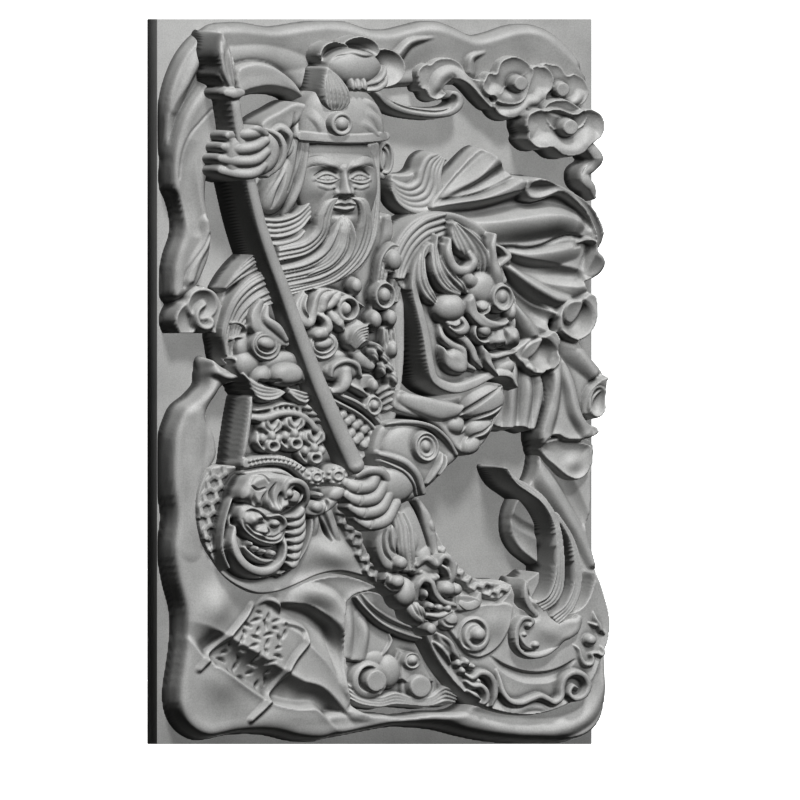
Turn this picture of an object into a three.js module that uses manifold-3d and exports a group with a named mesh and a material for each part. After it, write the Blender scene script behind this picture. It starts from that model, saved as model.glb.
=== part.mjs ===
// A carved stone wall panel: a rectangular slab with a bearded warrior in armour, holding
// a long polearm, in high relief among cloth, flames and clouds. The whole panel is one
// stone. Millimetres, +Z up, the carved side faces -Y, the origin is the middle of the back.
import * as THREE from 'three';
import { mergeVertices } from 'three/addons/utils/BufferGeometryUtils.js';
import Module from 'manifold-3d';

const wasm = await Module();
wasm.setup();

// Driving dimensions
const panelWidth = 400;
const panelHeight = 600;
const slabThickness = 19;
const reliefHeight = 62;
const shaftRadius = 6.5;
const handRise = 6;

// The carving is drawn at this size and follows the panel's own size in shares of it
const drawn = { width: 400, height: 600, relief: 62 };
const across = panelWidth / drawn.width;
const upward = panelHeight / drawn.height;
const outward = reliefHeight / drawn.relief;

// Forms on the slab are rooted this deep in it, and forms on other forms this deep in them
const rootDepth = slabThickness / 2;
const sink = 2;

// Slopes of a form's top edge and of a ridge's shoulders, as rise or inset for each millimetre
const edgeSlope = 0.8;
const shoulderSlope = 0.9;

// Levels of the relief above the slab's front
const level = {
  veil: 12, band: 15, ground: 20, cloud: 24, flag: 28, sleeve: 31, robe: 36, blade: 38,
  hat: 44, knee: 46, plate: 50, bracer: 53, shaft: 55,
};

function solidOf(geometry) {
  geometry.deleteAttribute('normal');
  geometry.deleteAttribute('uv');
  const welded = mergeVertices(geometry, 1e-3);
  const mesh = new wasm.Mesh({
    numProp: 3,
    vertProperties: welded.attributes.position.array,
    triVerts: new Uint32Array(welded.index.array),
  });
  return new wasm.Manifold(mesh);
}

function smoothLine(points, closed) {
  const vectors = points.map(([x, z]) => new THREE.Vector3(x * across, z * upward, 0));
  return new THREE.CatmullRomCurve3(vectors, closed, 'centripetal');
}

// A value read along a list of stations, with t from 0 to 1
function along(stations, t) {
  if (typeof stations === 'number') return stations;
  const place = t * (stations.length - 1);
  const first = Math.min(Math.floor(place), stations.length - 2);
  return THREE.MathUtils.lerp(stations[first], stations[first + 1], place - first);
}

// A raised form with a smooth outline, upright sides and a chamfered top edge
function plate(outline, top, { edge = 2.5 } = {}) {
  const ring = smoothLine(outline, true).getPoints(outline.length).slice(0, outline.length);
  const rise = edge * outward;
  const inset = edge * edgeSlope * Math.min(across, upward);
  const geometry = new THREE.ExtrudeGeometry(new THREE.Shape(ring), {
    depth: top * outward + rootDepth - 2 * rise,
    bevelEnabled: edge > 0,
    bevelThickness: rise,
    bevelSize: inset,
    bevelOffset: -inset,
    bevelSegments: 1,
    curveSegments: 1,
  });
  geometry.translate(0, 0, rise - rootDepth);
  return solidOf(geometry);
}

// A ridge along a smooth line: a fold, a strand, a finger or a shaft. It has a crest and
// sloping shoulders over upright walls that come out of the slab. With a foot, the level of
// the form that it lies on, it is a plain roof instead, half its width to a side there.
// flat is the share of its width that its crest is flattened over.
function ridge(line, half, crest, { foot, flat = 0 } = {}) {
  const curve = smoothLine(line, false);
  const stations = line.length - 1;
  const walled = foot === undefined;
  const section = new THREE.Shape();
  section.moveTo(-1, -1);
  section.lineTo(1, -1);
  if (walled) section.lineTo(1, 0);
  section.lineTo(flat, 1);
  if (flat > 0) section.lineTo(-flat, 1);
  if (walled) section.lineTo(-1, 0);
  const geometry = new THREE.ExtrudeGeometry(section, { depth: 1, steps: stations, bevelEnabled: false });
  const position = geometry.attributes.position;
  for (let i = 0; i < position.count; i += 1) {
    const t = Math.round(position.getZ(i) * stations) / stations;
    const centre = curve.getPoint(t);
    const tangent = curve.getTangent(t);
    const top = along(crest, t);
    const storey = position.getY(i);
    let width = along(half, t) * Math.min(across, upward);
    let height = (top - (1 - storey) * along(half, t) * shoulderSlope) * outward;
    if (storey < 0) height = walled ? -rootDepth : (foot - sink) * outward;
    if (storey < 0 && !walled) width *= 1 + sink / Math.max(top - foot, sink);
    const side = position.getX(i) * width;
    position.setXYZ(i, centre.x - tangent.y * side, centre.y + tangent.x * side, height);
  }
  return solidOf(geometry);
}

// A turned form: profile points are [share of the radius, height], from the foot inwards
function turned([x, z], [radiusX, radiusZ], foot, profile, turn, sides) {
  const points = [new THREE.Vector2(0, foot), new THREE.Vector2(1, foot)];
  profile.forEach(([r, h]) => points.push(new THREE.Vector2(r, h * outward)));
  const geometry = new THREE.LatheGeometry(points, sides);
  geometry.rotateX(Math.PI / 2);
  geometry.scale(radiusX * across, radiusZ * upward, 1);
  geometry.rotateZ(THREE.MathUtils.degToRad(turn));
  geometry.translate(x * across, z * upward, 0);
  return solidOf(geometry);
}

// A low dome out of the slab or, with a foot, on the form that it lies on
function dome(centre, radii, top, { foot, rise = 8, turn = 0, sides = 8 } = {}) {
  const walls = foot === undefined ? [[1, top - rise]] : [];
  const start = foot === undefined ? -rootDepth : (foot - sink) * outward;
  return turned(centre, radii, start, [...walls, [0.74, top - rise * 0.28], [0, top]], turn, sides);
}

// A lobe of cloud: a hollow dish with a sharp rim and a round boss in it
function dish(centre, radii, top, { boss = 0.4, deep = 6, turn = 0, sides = 10 } = {}) {
  const profile = [[0.96, top], [boss * 1.15, top - deep], [boss * 0.8, top + 0.5], [0, top + 0.5]];
  return turned(centre, radii, -rootDepth, profile, turn, sides);
}

// The same ridge repeated with its line moved step by step
function ridges(line, [stepX, stepZ], count, half, crest, options) {
  return Array.from({ length: count }, (_, i) => (
    ridge(line.map(([x, z]) => [x + stepX * i, z + stepZ * i]), half, crest, options)));
}

function borderCloth() {
  return [
    plate([[-158, 291], [-178, 277], [-192, 253], [-199, 222], [-198, 190], [-187, 145], [-188, 120],
      [-197, 92], [-192, 64], [-176, 78], [-162, 98], [-159, 126], [-164, 160], [-148, 235], [-120, 280]],
      level.band, { edge: 5 }),
    plate([[-160, 290], [-130, 297], [-100, 293], [-52, 298.5], [-28, 297], [0, 290], [25, 294], [50, 298],
      [86, 286], [112, 292], [138, 295], [160, 289], [180, 271], [190, 250], [180, 240], [90, 254],
      [40, 262], [-30, 256], [-120, 256], [-148, 268]], level.veil, { edge: 4 }),
    ridge([[-186, 235], [-188, 190], [-176, 140], [-188, 88]], [3, 8, 7, 3], [16, 19, 19, 16]),
    plate([[-138, 258], [-127, 264], [-108, 262.5], [-86, 249], [-74, 231], [-90, 240], [-112, 243.5], [-136, 238]],
      level.cloud, { edge: 2.5 }),
    plate([[-191, 64], [-170, 78], [-152, 67], [-150, 45], [-160, 22], [-181, 28], [-196, 50]], level.cloud - 2,
      { edge: 4 }),
    dish([-166, 52], [10, 11], level.cloud + 1, { deep: 4, sides: 8 }),
  ];
}

function groundCloth() {
  return [
    plate([[-164, 20], [-167, -2], [-188, -21], [-198, -44], [-199, -90], [-196, -112], [-199, -138],
      [-187, -190], [-188, -215], [-194, -255], [-188, -282], [-165, -295.5], [-105, -291], [-60, -296],
      [-36, -290], [-36, -240], [-60, -170], [-150, -150], [-176, -110], [-158, -62], [-167, -28],
      [-150, -5], [-122, 3], [-126, 12], [-146, 12]], level.ground, { edge: 5 }),
    plate([[-158, -150], [-142, -168], [-112, -176.5], [-80, -167], [-48, -158], [-22, -163.5], [-6, -171],
      [-32, -179], [-38, -200], [-38, -255], [-20, -288], [-90, -289], [-165, -288], [-184, -262],
      [-178, -200], [-181, -160]], level.flag, { edge: 4 }),
    ridge([[-182, -205], [-140, -240], [-72, -262], [-35, -288]], [4, 10, 9, 4], [28, 34, 34, 28]),
    ridge([[-78, -182], [-50, -195], [-40, -215], [-40, -245]], [5, 8, 7, 4], [30, 33, 32, 28]),
    plate([[-44, -293], [22, -290], [60, -290], [105, -298], [165, -299], [195, -288], [199.4, -255],
      [199, -200], [186, -160], [150, -165], [100, -200], [0, -256], [-40, -262]], level.cloud + 1, { edge: 5 }),
  ];
}

function polearm() {
  const grip = [[-155, 236], [-140, 165], [-119.5, 100], [-95, 40], [-70, -17], [-46, -65]];
  const swell = [0.92, 0.95, 1.05, 1.15, 1.28, 1.4].map((share) => share * shaftRadius);
  return [
    ridge(grip, swell, swell.map((radius) => level.shaft - shaftRadius + radius), { flat: 0.45 }),
    plate([[-165, 290], [-171.5, 273], [-170, 253], [-163, 243], [-154, 243], [-151, 255], [-156, 276]],
      level.shaft, { edge: 4 }),
    dome([-155.5, 238], [9, 5.5], level.shaft + 2, { rise: 7 }),
  ];
}

function upperHand() {
  const knuckle = level.shaft - 1 + handRise;
  const fingers = [
    [[-158, 204], [-146, 204], [-132, 207]],
    [[-162, 194], [-146, 192.5], [-128, 200]],
    [[-165, 184.5], [-147, 181.5], [-127, 191]],
    [[-165, 174.4], [-147, 171], [-128.4, 180.6]],
  ];
  return [
    plate([[-150, 208], [-134, 210], [-122, 206], [-114, 197], [-115, 186], [-134, 168.5],
      [-151, 166], [-160, 173], [-160, 195]], level.shaft - 5, { edge: 5 }),
    ...fingers.map((line) => ridge(line, [4.6, 5.8, 4.4], [knuckle - 6, knuckle, knuckle - 3],
      { foot: level.hat, flat: 0.45 })),
  ];
}

function raisedArm() {
  const foot = level.sleeve;
  return [
    plate([[-122, 213], [-104, 226], [-88, 232], [-80, 224], [-80, 160], [-78, 130], [-96, 117], [-118, 120],
      [-132, 158], [-116, 182]], level.sleeve, { edge: 3 }),
    ridge([[-120, 208], [-107, 193], [-120, 172]], [4, 5, 4], [40, 43, 40], { foot }),
    ridge([[-104, 222], [-99, 186], [-112, 142]], [4, 6, 5], [35, 40, 36], { foot }),
    ridge([[-90, 226], [-88, 190], [-94, 147]], [4, 5, 4], [35, 38, 35], { foot }),
    ...ridges([[-122, 135], [-104, 133], [-80, 148]], [1.6, -7], 3, 3.8, 38, { foot }),
  ];
}

// The head keeps to the usual thirds of a face: hairline to brow, brow to nose, nose to chin
function head() {
  const middle = -51;
  const hairline = 197;
  const third = 22;
  const halfWidth = 34;
  const brow = hairline - third;
  const noseFoot = brow - third;
  const eyes = brow - third * 0.3;
  const lips = noseFoot - third / 3;
  const skull = level.robe - 2;
  const front = level.hat + 3;
  const foot = front - 6;
  const pair = (make) => [-1, 1].flatMap(make);
  return [
    plate([[-90, 151], [-93, 184], [-50, 198], [-12, 187], [-17, 148], [-52, 116]], skull, { edge: 0 }),
    dome([middle, hairline - 1.5 * third], [halfWidth, 1.8 * third], front, { foot: skull, rise: 14, sides: 10 }),
    ridge([[middle, eyes], [middle, noseFoot]], [3, 6], [front + 1, front + 5], { foot }),
    ...pair((side) => [
      ridge([[middle + side * 5, brow], [middle + side * 24, brow + 1]], 2.6, [front + 1.5, front - 2], { foot }),
      dome([middle + side * 14, eyes], [6.5, 3.8], front + 0.5, { foot, rise: 4, sides: 6 }),
    ]),
    dome([middle, lips], [9, 3.6], front + 1.5, { foot, rise: 4, sides: 6 }),
    dome([-8, 181], [6.5, 14], level.robe - 3, { rise: 5, sides: 6 }),
    ...pair((side) => ridge([[middle + side * 2, noseFoot - 2], [middle + side * 17, lips - 16]], [3, 3.6],
      [front + 2, front - 3], { foot })),
    plate([[-90, 196], [-89, 225], [-70, 244], [-42, 246], [-18, 236], [-10, 196]], level.hat - 4, { edge: 0 }),
    dome([middle, 217], [38, 28], level.hat + 6, { foot: skull, rise: 14, sides: 10 }),
    ridge([[-92, 200], [-51, 200], [-10, 200]], 5, [38, 52, 40]),
    dome([-56, 213], [9.5, 9], level.hat + 12, { foot: level.hat }),
    dome([-38, 262], [21, 13.5], level.hat + 9, { rise: 12 }),
    dome([-47, 274], [27, 13], level.hat - 4, { turn: -16 }),
    dish([3, 257], [13, 17], level.hat - 9, { boss: 0.3, deep: 3, sides: 8 }),
    plate([[-69, 261], [-58, 253], [-48, 236], [-50, 224], [-59, 220.5], [-68, 230], [-71, 245]],
      level.hat + 10, { edge: 3 }),
    ridge([[-47, 245], [-36, 242], [-22, 244], [-13, 256]], [5, 4, 4.5, 2], [49, 49, 48, 42]),
    ridge([[-6, 239], [12, 227], [38, 222.5], [60, 227], [66, 238]],
      [3, 4, 4, 4, 3], [27, 24, 22, 22, 20]),
  ];
}

function beard() {
  const foot = level.robe - 8;
  const strands = [
    [[-66, 138], [-82, 112], [-114, 107]],
    [[-53, 130], [-68, 99], [-108, 91]],
    [[-40, 134], [-55, 89], [-96, 76]],
  ];
  const tail = [[-130, 104], [-146, 82], [-155, 48], [-136, 16]];
  return [
    plate([[-74, 146], [-78, 128], [-122, 114], [-144, 90], [-158, 48], [-142, 13], [-132, 14], [-141, 36],
      [-126, 58], [-96, 72], [-50, 82], [-26, 105], [-17, 150]], foot, { edge: 0 }),
    ...strands.map((line, i) => ridge(line, [5, 10, 9], [44 - i, 42, 36], { foot })),
    ridge(tail, [3, 5, 6, 3], [34, 34, 32, 30], { foot }),
    ridge(tail.map(([x, z], i) => [x + 10 + i, z - 1 + i]), [4, 7, 7, 3], [38, 38, 35, 30], { foot }),
    ridge([[-21, 168], [-20, 130], [-36, 95]], [3, 5, 4], [36, 39, 38], { foot }),
    // a lock of hair blown out beside the ear, like a flame
    plate([[-4, 180], [2, 152], [18, 139], [36, 143], [43, 160], [42, 172], [49, 182], [34, 191], [23, 178],
      [8, 174]], level.cloud, { edge: 3 }),
    ridge([[3, 166], [14, 150], [32, 158], [36, 183]], [3, 4.5, 4.5, 3], [27, 30, 30, 26], { foot: level.cloud }),
  ];
}

function skyClouds() {
  return [
    plate([[27, 256], [41, 263.5], [56, 269.5], [70, 262], [84, 248], [58, 249], [44, 235]], level.cloud - 4,
      { edge: 2 }),
    ridge([[60, 240], [54, 248], [70, 253], [100, 228]], [2, 4, 5, 4], [20, 24, 25, 22]),
    plate([[88, 251], [98, 259], [108, 270], [126, 266], [146, 261], [150, 246], [130, 231], [110, 215.5],
      [95, 226], [98, 238]], level.cloud, { edge: 2 }),
    dish([117, 248], [16, 15], level.cloud + 4, { boss: 0.5, sides: 8 }),
    plate([[142, 262], [158, 263], [168, 257], [183, 252], [186, 232], [150, 236]], level.cloud - 4, { edge: 2 }),
    dome([160, 241], [6.5, 6.5], level.cloud, { rise: 3 }),
    plate([[118, 211], [135, 226], [152, 234], [168, 226], [184, 225], [192, 211], [178, 197], [160, 186],
      [126, 195]], level.robe, { edge: 3 }),
    dish([156, 211], [19, 17], level.robe + 4),
    ridge([[182, 200], [189, 184], [178, 171], [188, 152]], [4, 5, 5, 4], [28, 28, 26, 24]),
  ];
}

function cape() {
  const foot = level.cloud - 2;
  return [
    plate([[40, 148], [92, 190], [106, 188], [126, 170], [142, 170], [176, 154], [198, 130], [194, 88],
      [180, 80], [186, 56], [172, 36], [199, 4], [196, -34], [180, -50], [180, -72], [150, -74], [118, -42],
      [86, -36], [96, 60], [72, 112]], foot, { edge: 0 }),
    ridge([[74, 120], [108, 127], [155, 133], [190, 126]], [8, 12, 13, 8], [38, 42, 41, 34], { foot }),
    ridge([[124, 164], [160, 158], [190, 130], [188, 102]], [6, 10, 9, 6], [34, 37, 35, 31], { foot }),
    ridge([[60, 152], [84, 163], [108, 177]], [5, 8, 5], [27, 31, 27], { foot }),
    ridge([[46, 146], [80, 155], [122, 164]], [5, 6, 5], [33, 35, 33], { foot }),
    ridge([[103, 100], [130, 78], [166, 64]], [6, 10, 10], [34, 37, 37], { foot }),
    ridge([[106, 66], [128, 44], [138, 14]], [6, 10, 8], [34, 36, 33], { foot }),
    dome([172, 50], [12, 15], level.robe + 1, { turn: -20, sides: 7 }),
    dome([136, 19], [13, 11], level.robe, { foot, turn: -20, sides: 7 }),
    dome([184, 96], [10, 13], level.sleeve + 2, { rise: 6, sides: 7 }),
    plate([[110, 24], [138, 4], [140, -16], [130, -38], [95, -37], [102, -12]], level.sleeve - 1, { edge: 0 }),
    ...ridges([[120, 2], [112, -36]], [11, 0], 2, 5, [32, 34], { foot: level.sleeve - 1 }),
    plate([[150, 24], [166, 4], [178, -32], [190, -42], [160, -47], [139, -53], [150, -8]], level.sleeve + 1,
      { edge: 0 }),
    ridge([[155, 12], [156, -12], [150, -42]], [4, 7, 7], [33, 37, 36], { foot: level.sleeve + 1 }),
    plate([[152, 46], [184, 18], [199, 3], [198, -26], [182, -31], [164, 10]], level.sleeve - 2, { edge: 0 }),
    dome([190, -17], [9, 13], level.sleeve + 2, { foot: level.sleeve - 2, sides: 6 }),
    dome([164, -62], [20, 17], level.sleeve),
  ];
}

function sideCloth() {
  return [
    plate([[137, -48], [140, -62], [134, -82], [146, -95], [162, -125], [176, -152], [196, -166], [199, -120],
      [199, -60], [182, -52]], level.ground, { edge: 0 }),
    ridge([[140, -68], [158, -92], [172, -120], [186, -148]], [4, 7, 7, 4], [24, 28, 28, 24]),
    plate([[121, -96], [113, -115], [115, -132], [128, -146], [143, -158], [156, -150], [150, -100]],
      level.band + 2, { edge: 3 }),
  ];
}

function chest() {
  const foot = level.robe;
  const beads = [
    [-2, 100, 9, 9, 47], [-9, 71, 10, 11, 47], [-18, 51, 7, 9, 46], [-4, 52, 7, 8, 46], [-34, 38, 13, 13, 47],
    [-2, 26, 6, 8, 45], [-36, 79, 7, 7, 44], [-20, -4, 6, 6, 45], [-20, -20, 8, 9, 46],
  ];
  const cheeks = [
    [-116, 28, 12, 9, 46], [-67, 29, 12, 9, 45], [-122, 16, 15, 15, 42], [-101, 8, 17, 13, 47],
    [-78, 14, 13, 12, 44], [-69, 42, 10, 9, 46],
  ];
  const bellyFaces = [[-115, -42], [-95, -40], [-77, -48]];
  return [
    plate([[-136, 12], [-133, -12], [-141, -60], [-143, -78], [-120, -84], [-55, -80], [-28, -62], [3, -24],
      [12, 10], [10, 82], [-2, 134], [-30, 120], [-60, 95], [-122, 60]], level.robe, { edge: 3.5 }),
    // the collar's folded cloth, over the shoulder
    ...ridges([[-12, 104], [3, 129], [44, 140]], [4.5, -4], 2, [4, 5, 4], [40, 43, 40]),
    // a lion's face on the breastplate
    ...cheeks.map(([x, z, rx, rz, top]) => dome([x, z], [rx, rz], top, { foot })),
    ridge([[-112, 60], [-125, 50], [-103, 32]], [3, 5, 4], [42, 46, 46], { foot }),
    ridge([[-92, 70], [-83, 56], [-74, 42]], [3, 5, 4], [42, 46, 46], { foot }),
    ridge([[-58, 66], [-71, 57], [-52, 48]], [3, 5, 3], [42, 46, 44], { foot }),
    ridge([[-132, 2], [-112, -9], [-90, -8], [-76, -13]], [2, 4, 5, 2], [40, 45, 46, 42], { foot }),
    // beads, rings and a tusk hung across the chest
    ...beads.map(([x, z, rx, rz, top]) => dome([x, z], [rx, rz], top, { foot, rise: 6, sides: 6 })),
    dome([-52, 9], [12, 8], 45, { foot, rise: 6 }),
    ridge([[-46, 6], [-48, -4], [-57, -9]], [4, 4, 2], [46, 46, 43], { foot }),
    ...ridges([[-56, -4], [-42, -12], [-26, -20]], [-4, -9], 2, 3, 42, { foot }),
    // the belly's hanging plates with small beast heads
    ridge([[-133, -14], [-136, -40], [-140, -66]], 4, 41, { foot }),
    ridge([[-128, -30], [-100, -26], [-70, -39]], 3.5, 41, { foot }),
    ...bellyFaces.map((centre) => dome(centre, [9, 13], 42, { foot, rise: 5 })),
    ridge([[-138, -70], [-110, -66], [-82, -76]], 5, 44, { foot }),
    dome([-76, -80], [10, 8], 51, { rise: 7, sides: 6 }),
    dome([-57, -79], [11, 10], 52, { rise: 7, sides: 6 }),
    ridge([[-88, -106], [-72, -102], [-56, -90]], [4, 6, 5], [47, 50, 51]),
  ];
}

function shoulderGuard() {
  const foot = level.plate - 2;
  const mane = [[-3, 0], [5, 0.5], [13, 3]];
  const cheeks = [
    [48, 58, 16, 15, 58, 10], [89, 70, 10, 11, 60, 8], [85, 34, 9, 8, 58, 8], [99, 36, 8, 8, 57, 8],
    [77, 44, 7, 7, 57, 6],
  ];
  return [
    plate([[22, 130], [10, 103], [9, 75], [18, 42], [25, 6], [34, -6], [57, -9], [84, 1], [100, -2], [110, 35],
      [111, 55], [98, 86], [98, 106], [82, 123], [45, 137]], foot, { edge: 3 }),
    ridge([[14, 100], [13, 72], [22, 42], [28, 8], [44, -4], [62, -4], [82, 6]], 3, 52, { foot }),
    // a beast's face with horns and a mane of flame
    ...cheeks.map(([x, z, rx, rz, top, sides]) => dome([x, z], [rx, rz], top, { foot, sides })),
    ridge([[64, 76], [64, 55], [88, 46]], [4, 6, 5], [56, 58, 57], { foot }),
    ridge([[88, 120], [84, 108], [92, 82]], [4, 5, 5], [52, 55, 58], { foot }),
    ridge([[44, 117], [45, 98], [64, 98]], [4, 6, 4], [53, 56, 55], { foot }),
    ...mane.map(([x, lift]) => ridge([[34 + x, 118], [31 + x * 1.1, 98], [52 + x, 72]],
      [3, 5, 4], [51, 55 + lift, 54], { foot })),
    ridge([[58, 127], [72, 112], [84, 84]], [3, 5, 4], [51, 56, 54], { foot }),
    dome([50, 17], [11, 9], level.plate + 5, { foot, turn: 40 }),
    ridge([[46, 48], [60, 32], [70, 22]], [3, 5, 3], [53, 55, 53], { foot }),
    ridge([[77, 28], [78, 17], [81, 7]], [4.5, 4, 2], [56, 55, 52], { foot }),
    ridge([[84, 22], [98, 22], [105, 14]], [4, 4, 3], [53, 54, 52], { foot }),
  ];
}

function lowerArm() {
  const sleeveTop = level.plate - 5;
  const guardTop = level.bracer - 2;
  return [
    plate([[6, -2], [42, -13], [60, -9], [80, -1], [96, -5], [92, -25], [72, -53], [56, -60], [40, -36],
      [2, -16]], sleeveTop, { edge: 4 }),
    ridge([[20, -14], [44, -18], [84, -8]], [5, 7, 5], [50, 54, 50], { foot: sleeveTop }),
    ridge([[46, -34], [62, -25], [89, -14]], [5, 8, 5], [50, 55, 50], { foot: sleeveTop }),
    ridge([[58, -48], [68, -40], [78, -30]], [5, 7, 5], [48, 52, 48], { foot: sleeveTop }),
    plate([[-14, -40], [2, -34], [20, -34], [44, -48], [53, -61], [34, -80], [14, -97], [-2, -92],
      [-24, -62]], guardTop, { edge: 4 }),
    ridge([[2, -34], [27, -36], [50, -60]], 4, [54, 57, 54], { foot: guardTop }),
    ridge([[-14, -68], [4, -70], [17, -90]], 4.5, [56, 58, 55], { foot: guardTop }),
    dome([19, -54], [10.5, 12], level.bracer + 6, { foot: guardTop, rise: 6, turn: 15 }),
    ...ridges([[-30, -66], [-26, -52], [-16, -38]], [5, -1], 2, [2.5, 3, 2], 50),
  ];
}

function lowerHand() {
  const knuckle = level.shaft + handRise;
  const fingers = [
    [[-51, -84], [-38, -87], [-26, -76]],
    [[-50, -94], [-35, -98], [-19, -82]],
    [[-44, -104], [-29, -108], [-13, -90]],
    [[-40, -114], [-24, -119], [-9, -102]],
  ];
  return [
    plate([[-46, -78], [-32, -71], [-14, -69], [0, -72], [10, -80], [15, -90], [12, -98], [0, -101], [-12, -112],
      [-28, -118], [-44, -108], [-50, -92]], level.shaft - 1, { edge: 5 }),
    ...fingers.map((line) => ridge(line, [4.8, 6, 4.6], [knuckle - 5, knuckle, knuckle - 3],
      { foot: level.hat, flat: 0.45 })),
  ];
}

function knee() {
  const skirt = level.flag;
  const shell = level.knee - 4;
  const mane = [[-91, -98, -112], [-87, -109, -121], [-86, -121, -131], [-88, -133, -141]];
  return [
    plate([[-167, -72], [-149, -70], [-146, -130], [-154, -152], [-173, -128], [-179, -104], [-169, -82]],
      skirt, { edge: 2 }),
    ...ridges([[-172, -98], [-160, -96], [-150, -102]], [1.5, -14], 3, 4, 31.5, { foot: skirt }),
    ridge([[-149, -88], [-157, -112], [-155, -146]], 4, [34, 37, 33], { foot: skirt }),
    plate([[-147, -84], [-112, -71], [-88, -82], [-80, -115], [-86, -142], [-106, -158], [-126, -162],
      [-147, -155], [-149, -115]], shell, { edge: 5 }),
    dome([-112, -100], [27, 27], 58, { foot: shell, rise: 14, sides: 10 }),
    dome([-130, -83], [8, 6], 54, { foot: shell, sides: 6 }),
    dome([-99, -91], [9, 8], 61, { foot: shell + 8, rise: 5 }),
    dome([-116, -104], [11, 9], 62, { foot: shell + 8, rise: 6 }),
    dome([-132, -121], [9, 7], 57, { foot: shell, sides: 6 }),
    ridge([[-143, -120], [-144, -144], [-118, -156], [-101, -132]], [5, 6.5, 6.5, 5], [53, 58, 58, 54], { foot: shell }),
    ridge([[-137, -124], [-120, -134], [-104, -120]], [4, 5, 4], [54, 57, 55], { foot: shell }),
    ...mane.map(([x, z, low]) => ridge([[x + 5, z + 3], [x - 11, low]], 4.5, [50, 53], { foot: shell })),
    // cloth and the armoured strip between the knee and the hand
    plate([[-84, -88], [-62, -100], [-44, -112], [-30, -140], [-12, -168], [-62, -160], [-88, -150]],
      skirt - 2, { edge: 0 }),
    ridge([[-52, -106], [-38, -128], [-16, -163]], [7, 9, 6], [38, 38, 34], { foot: skirt - 2 }),
    ridge([[-70, -104], [-66, -124], [-72, -146]], 4.5, [34, 35, 32], { foot: skirt - 2 }),
  ];
}

function thigh() {
  const foot = level.sleeve;
  return [
    plate([[-4, -96], [28, -100], [48, -135], [84, -163], [110, -166], [110, -183], [56, -194], [20, -187],
      [-6, -155], [-16, -118]], level.sleeve, { edge: 4 }),
    ...ridges([[18, -104], [36, -140], [58, -158]], [-9, -3], 2, [4, 6, 4], [38, 41, 37], { foot }),
    ridge([[60, -166], [80, -171], [102, -173]], [5, 7, 5], [37, 38, 35], { foot }),
  ];
}

// The dragon's head that grips the blade, below the lower hand
function dragon() {
  const foot = level.sleeve;
  return [
    ridge([[-18, -112], [-4, -142], [14, -182], [30, -208]], [7, 12, 12, 7], [48, 50, 49, 44]),
    ridge([[-12, -112], [-14, -126], [-9, -142]], 4, 53, { foot: level.knee }),
    dome([-5, -148], [9, 7], 58, { foot, sides: 6 }),
    dome([-4, -165], [8, 7], 55, { foot, sides: 6 }),
    dome([26, -140], [12, 11], 52, { foot }),
    ridge([[20, -150], [34, -156], [44, -168]], [6, 8, 7], [50, 52, 50], { foot }),
    dome([42, -172], [10, 8], 50, { foot, sides: 6 }),
    ridge([[19, -176], [27, -170], [48, -184]], [6, 8, 6], [51, 52, 48], { foot }),
    ridge([[38, -184], [58, -185], [72, -180]], [5, 6, 3], [45, 44, 42], { foot: level.blade }),
    ridge([[16, -184], [22, -196], [34, -206]], [6, 8, 6], [50, 49, 46], { foot }),
    dome([48, -198], [9, 7], level.blade + 6, { foot: level.blade, rise: 4 }),
  ];
}

function blade() {
  const foot = level.blade;
  const wave = [[90, -238], [93, -256], [103, -263], [130, -260], [147, -261], [163, -242], [158, -257]];
  return [
    plate([[17, -183], [28, -212], [54, -251], [74, -266], [95, -273.5], [125, -277], [155, -271], [188, -238],
      [198, -210], [196, -180], [184, -154], [179, -170], [168, -184], [106, -176], [70, -182]], foot, { edge: 2 }),
    dome([72, -209], [14, 16], level.blade + 8, { foot, rise: 5, sides: 10 }),
    ridge(wave, [2.5, 4, 4.5, 4.5, 4.5, 4.5, 2.5], 43, { foot }),
    ridge([[40, -212], [56, -232], [86, -255]], [3, 5, 3], 43, { foot }),
    dome([176, -214], [6.5, 6], level.blade + 5, { foot, sides: 6 }),
    ridge([[160, -220], [172, -233], [184, -222]], 3, 42, { foot }),
    // the beast's head on the back of the blade, with its plume
    plate([[109, -190], [103, -210], [114, -228], [130, -230.5], [148, -224], [167, -207], [171, -195],
      [160, -183], [128, -188]], level.plate - 3, { edge: 4 }),
    dome([117, -200], [9, 9], level.plate + 1, { foot: level.plate - 3, rise: 4, sides: 6 }),
    plate([[95, -68.5], [119, -70], [129, -89], [156, -112], [166, -140], [166, -162], [160, -186], [136, -190],
      [150, -165], [149, -130], [138, -108], [106, -90]], level.plate - 2, { edge: 2.5 }),
    ridge([[124, -88], [144, -108], [154, -132], [157, -160], [150, -186]], 4, 52, { foot: level.plate - 2 }),
    plate([[121, -162], [132, -155], [135, -168], [130, -182], [119, -180]], level.sleeve + 6, { edge: 2 }),
  ];
}

// Boot, robe hem and curling clouds under the leg
function feetAndClouds() {
  const hem = level.band + 2;
  return [
    plate([[-30, -178], [-10, -174], [8, -180], [35, -212], [62, -254], [66, -266], [0, -266], [-32, -262],
      [-34, -220]], hem, { edge: 0 }),
    ridge([[-26, -181], [-2, -196], [26, -208]], [6, 8, 6], 28, { foot: hem }),
    dish([-17, -246], [18, 19], level.flag, { boss: 0.55, deep: 7 }),
    dome([8, -244], [13, 13], level.cloud + 2, { foot: hem }),
    dish([31, -253], [15, 13], level.cloud + 2, { boss: 0.6, deep: 4, sides: 8 }),
    dome([24, -232], [8, 10], level.cloud, { foot: hem, sides: 6 }),
    ridge([[-14, -262], [10, -267], [40, -266], [66, -259]], [5, 6, 6, 5], 25, { foot: hem }),
  ];
}

function box(width, depthLow, depthHigh, height) {
  const geometry = new THREE.BoxGeometry(width, height, depthHigh - depthLow);
  geometry.translate(0, 0, (depthLow + depthHigh) / 2);
  return solidOf(geometry);
}

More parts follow.
